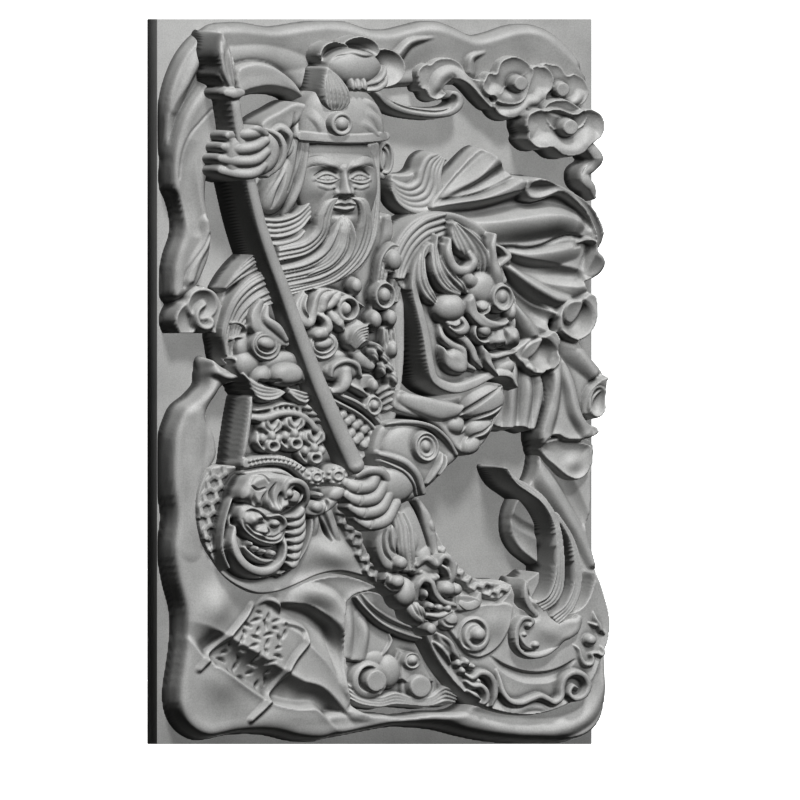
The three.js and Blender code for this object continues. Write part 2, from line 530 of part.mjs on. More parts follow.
function carvedPanel() {
  const slab = box(panelWidth, -slabThickness, 0, panelHeight);
  const bounds = box(panelWidth, -slabThickness, reliefHeight, panelHeight);
  const sections = [borderCloth, groundCloth, polearm, upperHand, raisedArm, head, beard, skyClouds, cape,
    sideCloth, chest, shoulderGuard, lowerArm, lowerHand, knee, thigh, dragon, blade, feetAndClouds];
  const forms = sections.flatMap((section) => section());
  const carved = forms.reduce((whole, form) => whole.add(form), slab);
  return carved.intersect(bounds);
}

function geometryOf(solid) {
  const mesh = solid.getMesh();
  const geometry = new THREE.BufferGeometry();
  geometry.setAttribute('position', new THREE.BufferAttribute(mesh.vertProperties, 3));
  geometry.setIndex(new THREE.BufferAttribute(mesh.triVerts, 1));
  // stand the carving up: its outward side turns to -Y, with the slab's back on Y = 0
  geometry.rotateX(Math.PI / 2);
  geometry.translate(0, -slabThickness, 0);
  return geometry;
}

const stone = new THREE.MeshStandardMaterial({ color: 0x9a9a98, roughness: 0.72, metalness: 0 });
const panel = new THREE.Mesh(geometryOf(carvedPanel()), stone);
panel.name = 'relief_panel';

const object = new THREE.Group();
object.add(panel);

export default object;
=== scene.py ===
# A carved stone wall panel: a bearded warrior in armour with a long polearm, in high relief
# among cloth, flames and clouds. Each region of the carving is a closed mesh of its own, made
# from a field of heights that strokes raise and cut. It runs in Blender 4.5.
import math

import bmesh
import bpy
import numpy as np
from mathutils import Matrix, Vector


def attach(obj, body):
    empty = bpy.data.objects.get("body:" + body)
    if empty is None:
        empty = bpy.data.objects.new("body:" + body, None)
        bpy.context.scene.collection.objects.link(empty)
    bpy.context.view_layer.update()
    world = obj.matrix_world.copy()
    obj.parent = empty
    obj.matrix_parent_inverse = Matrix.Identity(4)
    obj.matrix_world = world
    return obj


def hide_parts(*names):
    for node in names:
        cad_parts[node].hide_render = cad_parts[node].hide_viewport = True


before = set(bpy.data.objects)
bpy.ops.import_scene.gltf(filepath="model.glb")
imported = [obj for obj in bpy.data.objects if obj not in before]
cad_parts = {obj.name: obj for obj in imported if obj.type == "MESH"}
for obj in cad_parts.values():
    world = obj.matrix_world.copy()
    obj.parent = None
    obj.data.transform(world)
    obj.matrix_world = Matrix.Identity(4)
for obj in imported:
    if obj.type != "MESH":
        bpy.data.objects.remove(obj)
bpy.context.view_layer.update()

slabNode = "relief_panel"
slabThickness = 0.019
slabReach = (199.8, 299.8)   # millimetres from the middle to the sides and to the top and bottom

# Heights are millimetres over the slab's front; x and z are millimetres from the panel's middle.
stoneCut = {
    "floor": -2.0,         # how far a piece's own ground lies behind the slab's front
    "foot": 3,             # how much further the piece reaches into the slab
    "stoneFrom": 1,        # ground this far over the floor counts as stone that a fold or bump may move
    "leastHeight": 0.05,   # a cell of the grid is kept where it stands this far over the floor
    "softEdge": 0.8,       # half the width of an upright wall, in cells of the grid
    "stepsPerSpan": 7,     # points on a smooth line between two of its control points
    "gain": 0.55,          # how much the forms are deepened against the broad shape they sit on
    "gainReach": 4.5,      # millimetres over which that broad shape is taken
    "gainLimit": 3.5,      # the most that a form counts as standing out of that shape
    "steepFrom": 3,        # walls that climb more than this between neighbours are drawn out
    "steepOver": 6,        # how much more they climb where they are drawn out fully
    "steepPasses": 2,
}

# Each piece has a dictionary beside its function: the lower left and upper right corners of its
# grid, the width of a cell, its own gain where it has one, and the top of its first broad form
# with the rounding of that form's edge inwards (edge) and down (deep).


def hermite(start, end, slopeIn, slopeOut, s):
    # a smooth way from start to end that leaves and arrives with the given slopes
    return ((2 * s**3 - 3 * s**2 + 1) * start + (s**3 - 2 * s**2 + s) * slopeIn
            + (3 * s**2 - 2 * s**3) * end + (s**3 - s**2) * slopeOut)


def smoothLine(points, closed=False):
    # a centripetal curve through the points, and each new point's place along their list
    p = np.array(points, float)
    if closed:
        p = np.vstack([p[-1], p, p[0], p[1]])
    else:
        p = np.vstack([2 * p[0] - p[1], p, 2 * p[-1] - p[-2]])
    share = np.arange(stoneCut["stepsPerSpan"]) / stoneCut["stepsPerSpan"]
    curve, place = [], []
    for i in range(len(p) - 3):
        a, b, c, d = p[i:i + 4]
        ab, bc, cd = (math.sqrt(max(np.hypot(*v), 1e-6)) for v in (b - a, c - b, d - c))
        slopeIn = (c - b) + bc * ((b - a) / ab - (c - a) / (ab + bc))
        slopeOut = (c - b) + bc * ((d - c) / cd - (d - b) / (bc + cd))
        curve.append(hermite(b, c, slopeIn, slopeOut, share[:, None]))
        place.append(i + share)
    curve.append(p[-2][None, :])
    place.append(np.array([len(p) - 3.0]))
    return np.vstack(curve), np.concatenate(place)


def along(values, t):
    # a value read along a list of stations, without kinks; a single number holds everywhere
    if np.isscalar(values):
        return values
    v = np.array(values, float)
    slope = np.gradient(v)
    i = np.clip(np.floor(t).astype(int), 0, len(v) - 2)
    bent = hermite(v[i], v[i + 1], slope[i], slope[i + 1], np.clip(t - i, 0, 1))
    return np.clip(bent, v.min(), v.max())


def nearest(line, place, gx, gz):
    # distance to a line, the place along it, and on which side of it a point lies
    best = np.full(gx.shape, np.inf)
    where = np.zeros(gx.shape)
    side = np.zeros(gx.shape)
    for i in range(len(line) - 1):
        ax, az = line[i]
        dx, dz = line[i + 1] - line[i]
        s = np.clip(((gx - ax) * dx + (gz - az) * dz) / max(dx * dx + dz * dz, 1e-9), 0, 1)
        ox, oz = gx - ax - s * dx, gz - az - s * dz
        apart = ox * ox + oz * oz
        nearer = apart < best
        best = np.where(nearer, apart, best)
        where = np.where(nearer, place[i] + s * (place[i + 1] - place[i]), where)
        side = np.where(nearer, np.sign(dx * oz - dz * ox), side)
    return np.sqrt(best), where, side


def insideBy(line, gx, gz):
    # distance into a closed outline, negative outside it
    distance, _, _ = nearest(line, np.arange(len(line)), gx, gz)
    inside = np.zeros(gx.shape, bool)
    for (ax, az), (bx, bz) in zip(line[:-1], line[1:]):
        if az != bz:
            inside ^= ((az > gz) != (bz > gz)) & (gx < (bx - ax) * (gz - az) / (bz - az) + ax)
    return np.where(inside, distance, -distance)


def rounding(u, power=2.0):
    # 0 on a form's crest, 1 at its foot; power 1 is a plain slope and 2 a half round
    u = np.clip(u, 0, 1)
    return 1 - (1 - u**power)**(1 / power)


def softened(field, passes):
    # a field smoothed by its neighbours, again and again
    for _ in range(passes):
        for axis in (0, 1):
            n = field.shape[axis]
            wide = np.concatenate([field.take([0], axis), field, field.take([n - 1], axis)], axis)
            field = (wide.take(range(0, n), axis) + 2 * field + wide.take(range(2, n + 2), axis)) / 4
    return field


def softenedOver(field, reach, cell):
    # the same, by as many passes as smooth over a reach in millimetres
    return softened(field, int(2 * (reach / cell)**2))


class Carving:
    # one piece of the relief, as a field of heights that each stroke raises or cuts
    def __init__(self, cut):
        self.cell = cut["cell"]
        self.x = np.arange(cut["low"][0], cut["high"][0] + self.cell, self.cell)
        self.z = np.arange(cut["low"][1], cut["high"][1] + self.cell, self.cell)
        self.h = np.full((len(self.z), len(self.x)), stoneCut["floor"])
        self.gain = cut.get("gain", stoneCut["gain"])

    def window(self, points, reach):
        # the part of the grid that a stroke can touch
        cuts = []
        for axis, values in ((1, self.z), (0, self.x)):
            first = np.searchsorted(values, points[:, axis].min() - reach)
            last = np.searchsorted(values, points[:, axis].max() + reach)
            cuts.append(slice(first, max(last, first + 1)))
        gx, gz = np.meshgrid(self.x[cuts[1]], self.z[cuts[0]])
        return tuple(cuts), gx, gz

    def lay(self, part, inward, height, over=False):
        # put a form down where inward is positive, with a wall about one cell wide
        mask = np.clip(0.5 + inward / (2 * stoneCut["softEdge"] * self.cell), 0, 1)
        old = self.h[part]
        new = height if over else np.maximum(old, height)
        self.h[part] = old + (new - old) * mask

    def lift(self, part, height):
        # raise or sink the surface, where there is any
        stone = self.h[part] > stoneCut["floor"] + stoneCut["stoneFrom"]
        self.h[part] += np.where(stone, height, 0)

    def plate(self, outline, top, edge=2.5, deep=None, power=2.0, lean=(0, 0), over=False, smooth=True):
        # a form with an upright outline; edge and deep are its rounding inwards and down
        line = smoothLine(outline, True)[0] if smooth else np.array(outline + outline[:1], float)
        part, gx, gz = self.window(line, 2 * self.cell)
        inward = insideBy(line, gx, gz)
        middle = line.mean(axis=0)
        height = top + lean[0] * (gx - middle[0]) + lean[1] * (gz - middle[1])
        height = height - (edge if deep is None else deep) * rounding(1 - inward / edge, power)
        self.lay(part, inward, height, over)

    def ridge(self, line, half, crest, rise=0.9, power=2.0, closed=False):
        # a rounded ridge: a fold, strand, finger or shaft; rise is its height for each half width
        curve, place = smoothLine(line, closed)
        part, gx, gz = self.window(curve, np.max(half) + 2 * self.cell)
        distance, t, _ = nearest(curve, place, gx, gz)
        width = along(half, t)
        height = along(crest, t) - width * rise * rounding(distance / width, power)
        self.lay(part, width - distance, height)

    def groove(self, line, half, deep):
        curve, place = smoothLine(line)
        part, gx, gz = self.window(curve, np.max(half) + self.cell)
        distance, t, _ = nearest(curve, place, gx, gz)
        u = np.clip(distance / along(half, t), 0, 1)
        self.h[part] -= along(deep, t) * (1 - u)**2 * (1 + 2 * u)

    def fold(self, line, reach, height, power=1.5):
        # a fold of cloth with a soft foot; a pair gives its reach to the left and to the right
        left, right = reach if isinstance(reach, tuple) else (reach, reach)
        curve, place = smoothLine(line)
        part, gx, gz = self.window(curve, max(np.max(left), np.max(right)))
        distance, t, side = nearest(curve, place, gx, gz)
        u = np.clip(distance / np.where(side > 0, along(left, t), along(right, t)), 0, 1)
        self.lift(part, along(height, t) * (1 - u)**power * (1 + power * u))

    def ellipse(self, centre, radii, turn):
        # the grid's part round an ellipse, how far out each point lies, and how far inside the rim
        part, gx, gz = self.window(np.array([centre], float), max(radii) + 2 * self.cell)
        angle = math.radians(turn)
        dx, dz = gx - centre[0], gz - centre[1]
        u = np.hypot((dx * math.cos(angle) + dz * math.sin(angle)) / radii[0],
                     (dz * math.cos(angle) - dx * math.sin(angle)) / radii[1])
        return part, u, (1 - u) * min(radii)

    def dome(self, centre, radii, top, rise=6, turn=0, power=2.0, over=False):
        part, u, inward = self.ellipse(centre, radii, turn)
        self.lay(part, inward, top - rise * rounding(u, power), over)

    def domes(self, *places):
        for x, z, wide, high, top, rise in places:
            self.dome((x, z), (wide, high), top, rise)

    def dish(self, centre, radii, top, deep=4, turn=0, lip=0.86):
        # a lobe hollowed like a dish, with a thin rounded rim
        part, u, inward = self.ellipse(centre, radii, turn)
        hollow = top - deep * (1 - np.clip(u / lip, 0, 1)**2)
        rim = top - 1.2 * np.clip((u - lip) / (1 - lip), 0, 1)**2
        self.lay(part, inward, np.where(u < lip, hollow, rim), True)

    def bump(self, centre, radii, height, turn=0):
        # raise or sink the surface softly; the radii are those of the bump's steep part
        fade = 2.2
        part, u, _ = self.ellipse(centre, (radii[0] * fade, radii[1] * fade), turn)
        self.lift(part, height * np.exp(-(u * fade)**2))

    def ring(self, centre, radii, half, crest, turn=0, rise=0.9):
        angles = np.radians(np.arange(0, 360, 30))
        c, s = math.cos(math.radians(turn)), math.sin(math.radians(turn))
        points = [(centre[0] + radii[0] * math.cos(a) * c - radii[1] * math.sin(a) * s,
                   centre[1] + radii[0] * math.cos(a) * s + radii[1] * math.sin(a) * c) for a in angles]
        self.ridge(points, half, crest, rise, closed=True)

    def scroll(self, centre, radius, start, sweep, half, crest, inner):
        # a curl that winds in from its start angle; sweep in degrees, positive anticlockwise
        turns = np.linspace(0, 1, max(int(abs(sweep) / 30), 3))
        points = []
        for s in turns:
            out, angle = radius * (1 - (1 - inner) * s), math.radians(start + sweep * s)
            points.append((centre[0] + out * math.cos(angle), centre[1] + out * math.sin(angle)))
        widths, tops = ([along(v, s * (len(v) - 1)) for s in turns] for v in (half, crest))
        self.ridge(points, widths, tops)

    def between(self, first, last, share):
        # a guiding line between two others with as many points
        first, last = np.array(first, float), np.array(last, float)
        return first + (last - first) * share

    def strands(self, first, last, count, half, crest, rise=0.9, wave=0.0):
        # a lock: ridges side by side, from one guiding line to another
        for i in range(count):
            lift = wave * ((i * 7) % 5 - 2) / 2
            self.ridge(self.between(first, last, i / (count - 1)), half, [v + lift for v in crest], rise)

    def finished(self):
        # deepen the forms against the broad shape that they sit on
        stone = (self.h > stoneCut["floor"] + stoneCut["stoneFrom"]).astype(float)
        reach, limit = stoneCut["gainReach"], stoneCut["gainLimit"]
        share = np.maximum(softenedOver(stone, reach, self.cell), 0.05)
        broad = softenedOver(self.h * stone, reach, self.cell) / share
        field = self.h + stone * self.gain * np.clip(self.h - broad, -limit, limit)
        # tall walls are drawn out over a few cells, so that they run clean across the grid
        padded = np.pad(field, 1, mode="edge")
        shifts = [padded[i:i + field.shape[0], j:j + field.shape[1]] for i in range(3) for j in range(3)]
        steep = np.max(shifts, axis=0) - np.min(shifts, axis=0)
        share = np.clip((steep - stoneCut["steepFrom"]) / stoneCut["steepOver"], 0, 1)
        return field + (softened(field, stoneCut["steepPasses"]) - field) * share


borderClothCut = {"low": (-202, 40), "high": (200, 302), "cell": 1.16, "gain": 0.6, "top": 11, "edge": 9,
    "deep": 6}


def borderCloth():
    cut = borderClothCut
    c = Carving(cut)
    c.plate([(-160, 290), (-130, 297), (-100, 293), (-75, 296), (-50, 298.5), (-28, 297), (-8, 291),
        (8, 290.5), (25, 294), (42, 297.5), (58, 297), (72, 292), (86, 286), (100, 288), (120, 294),
        (138, 295), (155, 291), (170, 282), (182, 268), (190, 250), (191, 232), (150, 240), (60, 246),
        (-30, 240), (-100, 240), (-148, 250)], cut["top"], edge=cut["edge"], deep=cut["deep"])
    # the upper edge's roll sinks softly towards the figure
    c.fold([(-150, 288), (-100, 286), (-50, 291), (0, 284), (42, 290), (86, 279), (138, 287), (176, 262)],
        (12, 30), 6, 1.2)
    c.fold([(-142, 262), (-110, 263), (-80, 256), (-60, 246)], (16, 22), 4, 1.2)
    for a, b in (((48, 285), (12, 271)), ((95, 273), (78, 256))):
        mid = ((a[0] + b[0]) / 2 - 7, (a[1] + b[1]) / 2 + 3)
        c.fold([a, mid, b], ([1, 6, 9], [1, 3, 3]), [0, 3.5, 4.5], 1)
    # the left side's hanging layers
    c.plate([(-158, 291), (-178, 277), (-192, 253), (-199, 225), (-199, 195), (-193, 168), (-187, 145),
        (-187, 122), (-195, 101), (-197, 86), (-192, 64), (-176, 72), (-166, 90), (-160, 106), (-159, 126),
        (-164, 155), (-160, 190), (-151, 216), (-146, 240), (-138, 262), (-120, 280)], 15.6, edge=8, deep=6)
    c.fold([(-160, 262), (-171.6, 244), (-183, 229), (-190, 215), (-197, 192), (-198, 176)], 8,
        [-1, -2, -2, -2, -1.4, -1], 1.2)
    c.plate([(-158, 262), (-170.6, 243), (-182, 228), (-189, 214.3), (-195, 193), (-197.4, 175),
        (-196.6, 160), (-191.9, 150.5), (-187.7, 133.6), (-188.2, 121.2), (-194, 104.7), (-196.6, 88),
        (-195, 68), (-176, 74), (-166, 90), (-160, 106), (-159, 126), (-164, 155), (-158, 190), (-149, 216),
        (-144, 240), (-146, 262)], 23, edge=9, deep=7, power=1.9)
    c.fold([(-150, 284), (-170, 266), (-182, 246), (-190, 226)], (6, 7), [1, 2.4, 2.8, 1], 1.2)
    c.groove([(-160, 226), (-171, 215), (-181, 204), (-187, 190), (-190, 168)], 1.4, 1)
    c.fold([(-178, 200), (-184, 180), (-180, 150), (-174, 128)], 9, [0, -2, -2.4, -1], 1.2)
    c.groove([(-163, 122), (-168, 112), (-177, 100), (-184, 90), (-186, 78)], 1.6, 1.2)
    c.fold([(-165, 132), (-164, 118), (-174, 100), (-180, 84)], (4, 7), 2.2, 1.2)
    # a crescent of cloth beside the finial
    c.plate([(-138, 258), (-127, 264), (-110, 263), (-95, 256), (-83, 246), (-74, 229), (-80, 230),
        (-92, 237), (-108, 239.5), (-125, 237), (-136, 233)], 19, edge=2, deep=1)
    c.plate([(-140, 258), (-127, 264), (-110, 263), (-95, 256), (-83, 246), (-74, 231), (-82, 236),
        (-95, 241.5), (-110, 243.5), (-125, 241), (-138, 238)], 26, edge=9, deep=3)
    # a small cloud at the left edge
    c.plate([(-191, 64), (-182, 70), (-177, 77), (-166, 79), (-156, 75), (-150, 64), (-148, 45), (-152, 26),
        (-162, 20), (-171, 24), (-181, 28), (-186, 37), (-193, 42), (-197, 52)], 23, edge=3, deep=2)
    c.dish((-181, 50), (15, 16), 24, 3)
    c.dish((-170, 64), (15, 14), 24.5, 4)
    c.dish((-168, 34), (14, 14), 23.5, 3)
    c.scroll((-166, 51), 13, 100, 250, [2.5, 3.2, 2.5], [26, 28, 27], 0.3)
    return c


polearmCut = {"low": (-178, -78), "high": (-30, 294), "cell": 0.75, "top": 53, "edge": 8, "deep": 9,
    "axis": 48.5}


def polearm():
    cut = polearmCut
    c = Carving(cut)
    shaft = [(-155, 236), (-149, 200), (-140, 165), (-130.5, 130), (-119.5, 100), (-111, 80), (-95, 40),
        (-78, 0), (-59, -40), (-44, -69)]
    swell = [6, 6, 6.2, 6.4, 6.7, 7, 7.6, 8.3, 9, 9.4]
    c.ridge(shaft, swell, [cut["axis"] + r for r in swell], 1)
    # the bud at the top, with leaf ridges
    c.plate([(-165, 290), (-170, 280), (-171.5, 270), (-169.5, 262), (-170, 253), (-163, 243), (-154, 243),
        (-151, 255), (-153.5, 265), (-156, 276), (-161, 286)], cut["top"], edge=cut["edge"], deep=cut["deep"])
    c.ridge([(-164, 288), (-167, 272), (-165, 258), (-158, 244)], [1.2, 3.4, 3, 2], [48, 55, 55, 53])
    c.ridge([(-163, 288), (-160, 272), (-158, 258), (-155, 244)], [1, 2, 2, 1.4], [47, 53, 54, 53])
    c.ridge([(-162, 286), (-155, 270), (-153, 256), (-153, 246)], [1, 2, 2, 1.4], [46, 49, 50, 50])
    c.ridge([(-163, 239), (-156, 238), (-149, 239)], [4.8, 5.4, 4.8], [55, 57.5, 55], 0.8)
    return c


upperHandCut = {"low": (-172, 158), "high": (-104, 216), "cell": 0.6, "gain": 0.2, "top": 56, "edge": 9,
    "deep": 8}


def upperHand():
    cut = upperHandCut
    c = Carving(cut)
    c.plate([(-150, 208), (-134, 211), (-122, 207), (-113, 198), (-112, 186), (-118, 175), (-134, 167.5),
        (-150, 166), (-160, 172), (-160, 195)], cut["top"], edge=cut["edge"], deep=cut["deep"])
    c.ridge([(-121, 209), (-110, 203), (-106, 192), (-109, 180), (-119, 170)], [2.5, 3.4, 3.6, 3.4, 2.5],
        [44, 48, 49, 48, 44])
    fingers = [([(-158, 203.5), (-148, 204), (-139, 205), (-131, 206)], [50, 58, 60, 57]), ([(-162, 194),
        (-150, 192), (-138, 194), (-127, 199)], [50, 59, 61.5, 58]), ([(-165, 184.5), (-152, 182),
        (-138, 183), (-126, 190)], [50, 59, 61.5, 58]), ([(-165, 175), (-152, 172), (-139, 172.5),
        (-128, 179)], [50, 58, 60.5, 57])]
    for line, crest in fingers:
        c.ridge(line, [4.8, 5.3, 5.4, 4.4], crest, 1)
    c.ridge([(-146, 207), (-136, 209), (-127, 205)], [3, 4.2, 3], [57, 60, 57], 0.8)
    return c


raisedArmCut = {"low": (-136, 108), "high": (-68, 238), "cell": 0.7, "top": 30, "edge": 9, "deep": 7}


def raisedArm():
    cut = raisedArmCut
    c = Carving(cut)
    c.plate([(-124, 213), (-104, 226), (-88, 232), (-78, 228), (-76, 195), (-72, 160), (-70, 140), (-80, 124),
        (-100, 117), (-118, 118), (-128, 135), (-132, 158), (-122, 172), (-116, 190)], cut["top"],
        edge=cut["edge"], deep=cut["deep"])
    # a loose sleeve: broad bulges between the folds that gather at the wrist and at the cuff
    c.dome((-104, 164), (15, 28), 40, 12, turn=-22)
    c.dome((-114, 186), (11, 20), 37, 8, turn=20)
    c.dome((-90, 190), (10, 34), 38, 8, turn=-6)
    c.plate([(-124, 214), (-106, 225), (-90, 232), (-80, 229), (-86, 216), (-98, 206), (-110, 202),
        (-120, 205)], 38, edge=5, deep=4)
    c.ridge([(-116, 204), (-105, 210), (-97, 203), (-97, 192), (-103, 182)], [2, 3.6, 3.8, 3.4, 2],
        [38, 41, 42, 40, 37], 0.8)
    c.ridge([(-80, 222), (-80, 196), (-84, 172), (-93, 150), (-98, 138)], [2, 3, 3.6, 3.6, 3],
        [34, 37, 39, 38, 34], 0.7)
    for line, deep in (([(-92, 222), (-94, 200), (-102, 178), (-116, 154), (-120, 142)], 3), ([(-84, 216),
            (-87, 194), (-91, 176), (-98, 158)], 2.6), ([(-106, 188), (-113, 172), (-124, 158)], 2.6),
            ([(-101, 172), (-107, 158), (-112, 144)], 2.4), ([(-76, 200), (-79, 180), (-84, 162)], 2)):
        c.groove(line, [1.4, 3, 2], [0.4, deep, 0.6])
    # cuff bands
    for i in range(4):
        drop = -4.3 * i
        c.ridge([(-124, 134 + drop), (-106, 133 + drop), (-90, 138 + drop), (-78, 148 + drop * 0.9)],
            [2.2, 2.5, 2.5, 2.2], [36, 39, 40, 38], 1.1)
    c.ridge([(-122, 115), (-106, 114), (-90, 118), (-82, 124)], [2.6, 3, 3, 2.6], [35, 37, 37, 35], 0.6)
    return c


headCut = {"low": (-96, 118), "high": (66, 292), "cell": 0.52, "gain": 0.12, "top": 26, "edge": 6, "deep": 4,
    "face": 47, "band": 54, "hairline": 197, "third": 22}


def head():
    cut = headCut
    c = Carving(cut)
    middle, hairline, third = -50.5, cut["hairline"], cut["third"]
    brow, noseFoot = hairline - third, hairline - 2 * third
    eyes, lips = brow - third * 0.3, noseFoot - third / 3

    def at(side, level, points):
        # points of the face, counted from its middle line and from a level
        return [(middle + side * x, level + z) for x, z in points]

    # the side of the head, and the ear
    c.plate([(-89, 199), (-89, 170), (-86, 150), (-77, 134), (-50, 118), (-22, 130), (-10, 150), (-8, 199)],
        cut["top"], edge=cut["edge"], deep=cut["deep"])
    c.dome((-5, 184), (8, 16), 32, 7)
    c.ring((-5, 185), (5.4, 12.4), 1.7, 34)
    c.groove([(-8, 192), (-5, 190), (-3.5, 184), (-5, 177), (-8, 174)], 2, 2.6)
    c.dome((-7, 171), (4, 5), 32, 4)
    # the face, by the usual thirds from hairline to brow, nose and chin
    c.dome((middle, 165), (38, 48), cut["face"], 19, power=2.3)
    for side in (-1, 1):
        c.bump((middle + side * 14.5, eyes + 2), (9, 5), -4.4)
        c.bump((middle + side * 15, brow + 4), (12, 4), 2)
        c.bump((middle + side * 14.5, eyes), (7.4, 3.8), 4)
        c.fold(at(side, eyes, [(5.6, -0.6), (10, 2.6), (15.5, 3.6), (21, 2.2), (26, -1.6)]), (1.5, 1.9),
            [0.8, 1.7, 1.9, 1.7, 0.6], 1.1)
        c.groove(at(side, eyes, [(7, 3.4), (12, 6), (18, 6), (25, 1.8)]), 1.3, 1.3)
        c.fold(at(side, eyes, [(6.5, -1.6), (11, -3.4), (16, -4), (21, -3.2), (25, -1.4)]), (1.1, 1.6),
            [0.5, 1.2, 1.3, 1.2, 0.4], 1.1)
        c.groove(at(side, eyes, [(6.6, -0.9), (10.5, -2), (15.5, -2.4), (20, -1.8), (24, -0.9)]), 0.9, 1)
        c.groove(at(side, eyes, [(12.8, 1.6), (12.5, -0.4), (14.6, -2), (17.2, -0.4), (17, 1.6)]), 0.75, 0.7)
        c.groove(at(side, eyes, [(14.8, 0.6), (14.9, -0.1)]), 1, 0.9)
        c.fold(at(side, eyes, [(9, -7.2), (15, -8.4), (22, -6.4)]), (2.4, 2), 0.9)
        c.bump((middle + side * 21, noseFoot + 6), (9, 8), 2.6)
        c.fold(at(side, brow, [(3.6, 0), (10, 3.4), (19, 7.4), (27, 6.4), (32, 2)]), [2.4, 4.6, 5, 3.6, 1],
            [0.8, 2.2, 2.4, 1.8, 0.1], 1.2)
        for i in range(7):
            rise = i * 1.25
            c.groove([(middle + side * 4.4, brow + rise * 0.4 - 1), (middle + side * 11, brow + 0.6 + rise),
                (middle + side * 19, brow + 4 + rise), (middle + side * 27, brow + 3.2 + rise),
                (middle + side * 31, brow + 1 + rise * 0.9)], 0.75, [0.2, 0.8, 0.8, 0.8, 0])
        c.fold([(middle + side * 10, noseFoot + 6), (middle + side * 14, noseFoot + 1),
            (middle + side * 18, lips + 1), (middle + side * 19, lips - 6)], (5, 4), [0.2, 0.9, 1, 0.2], 1.1)
    c.fold([(middle, brow + 1), (middle, brow - 8), (middle, noseFoot + 3)], [4, 4, 6], [2.5, 4.8, 7.6], 1.1)
    c.bump((middle, noseFoot + 3.5), (4.2, 4), 2.8)
    for side in (-1, 1):
        c.bump((middle + side * 6.2, noseFoot + 3), (3, 3), 2.8)
        c.groove([(middle + side * 9.7, noseFoot + 6), (middle + side * 10, noseFoot + 1)], 1.2, 1.2)
        c.groove([(middle + side * 3.4, noseFoot + 0.2), (middle + side * 6.2, noseFoot + 0.6)], 1.1, 1.8)
    c.groove(at(1, noseFoot, [(-9, -0.8), (-4, -1.6), (0, -0.6), (4, -1.6), (9, -0.8)]), 1.6, 2.2)
    # lips
    c.bump((middle, lips), (10, 5), 1.6)
    c.fold(at(1, lips, [(-10, 0.6), (-4, 2.6), (0, 1.9), (4, 2.6), (10, 0.6)]), 1.8, 1.6, 1.2)
    c.fold(at(1, lips, [(-8, -2), (0, -3.4), (8, -2)]), 2.2, 2.2, 1.2)
    c.groove(at(1, lips, [(-11, 0.1), (-4, -0.2), (0, -0.6), (4, -0.2), (11, 0.1)]), 0.9, 1.7)
    c.bump((middle, lips - 8), (9, 2), -1.6)
    c.bump((middle, lips - 13), (9, 5), 2.5)
    # the cap: a round crown that ends at the band, and the band
    crown = Carving(cut)
    crown.plate([(-89, 190), (-89, 206), (-86.6, 222), (-80, 236), (-68, 244), (-50, 247), (-32, 244),
        (-20, 236), (-12, 222), (-9.5, 206), (-9.5, 190)], 52, edge=36, deep=20, power=2.3)
    for line in ([(-33, 236), (-22, 231), (-14, 222), (-10, 210)], [(-31, 226), (-20, 219), (-13, 207)],
            [(-36, 217), (-26, 211), (-20, 205)]):
        crown.fold(line, (1.6, 6), [0, 2.2, 3, 2], 1.1)
        crown.groove(line, 1.3, [0, 1.2, 1.6, 1])
    crown.fold([(-84, 224), (-76, 214), (-72, 206)], (6, 3), [0, 1.5, 1], 1.1)
    crown.h[crown.z < 203] = stoneCut["floor"]
    c.h = np.maximum(c.h, crown.h)
    c.plate([(-90, 207), (-91, 200), (-84, 197.4), (-70, 196.2), (-50, 195.6), (-30, 196.2), (-15, 197.4),
        (-7.5, 200), (-8.5, 207), (-15, 205.4), (-30, 204.4), (-50, 204), (-70, 204.4), (-83, 205.4)], 40,
        edge=2, deep=1.5)
    across = [x / 10 for x in range(-10, 11, 2)]
    c.ridge([(-49 + 40 * x, 200.6 + 2.6 * x * x) for x in across], 4.1,
        [cut["band"] - 14 * (1 - math.sqrt(1 - x * x * 0.98)) for x in across], 0.25, power=4)
    return c


beardCut = {"low": (-164, 8), "high": (-8, 200), "cell": 0.6, "top": 24, "edge": 2}


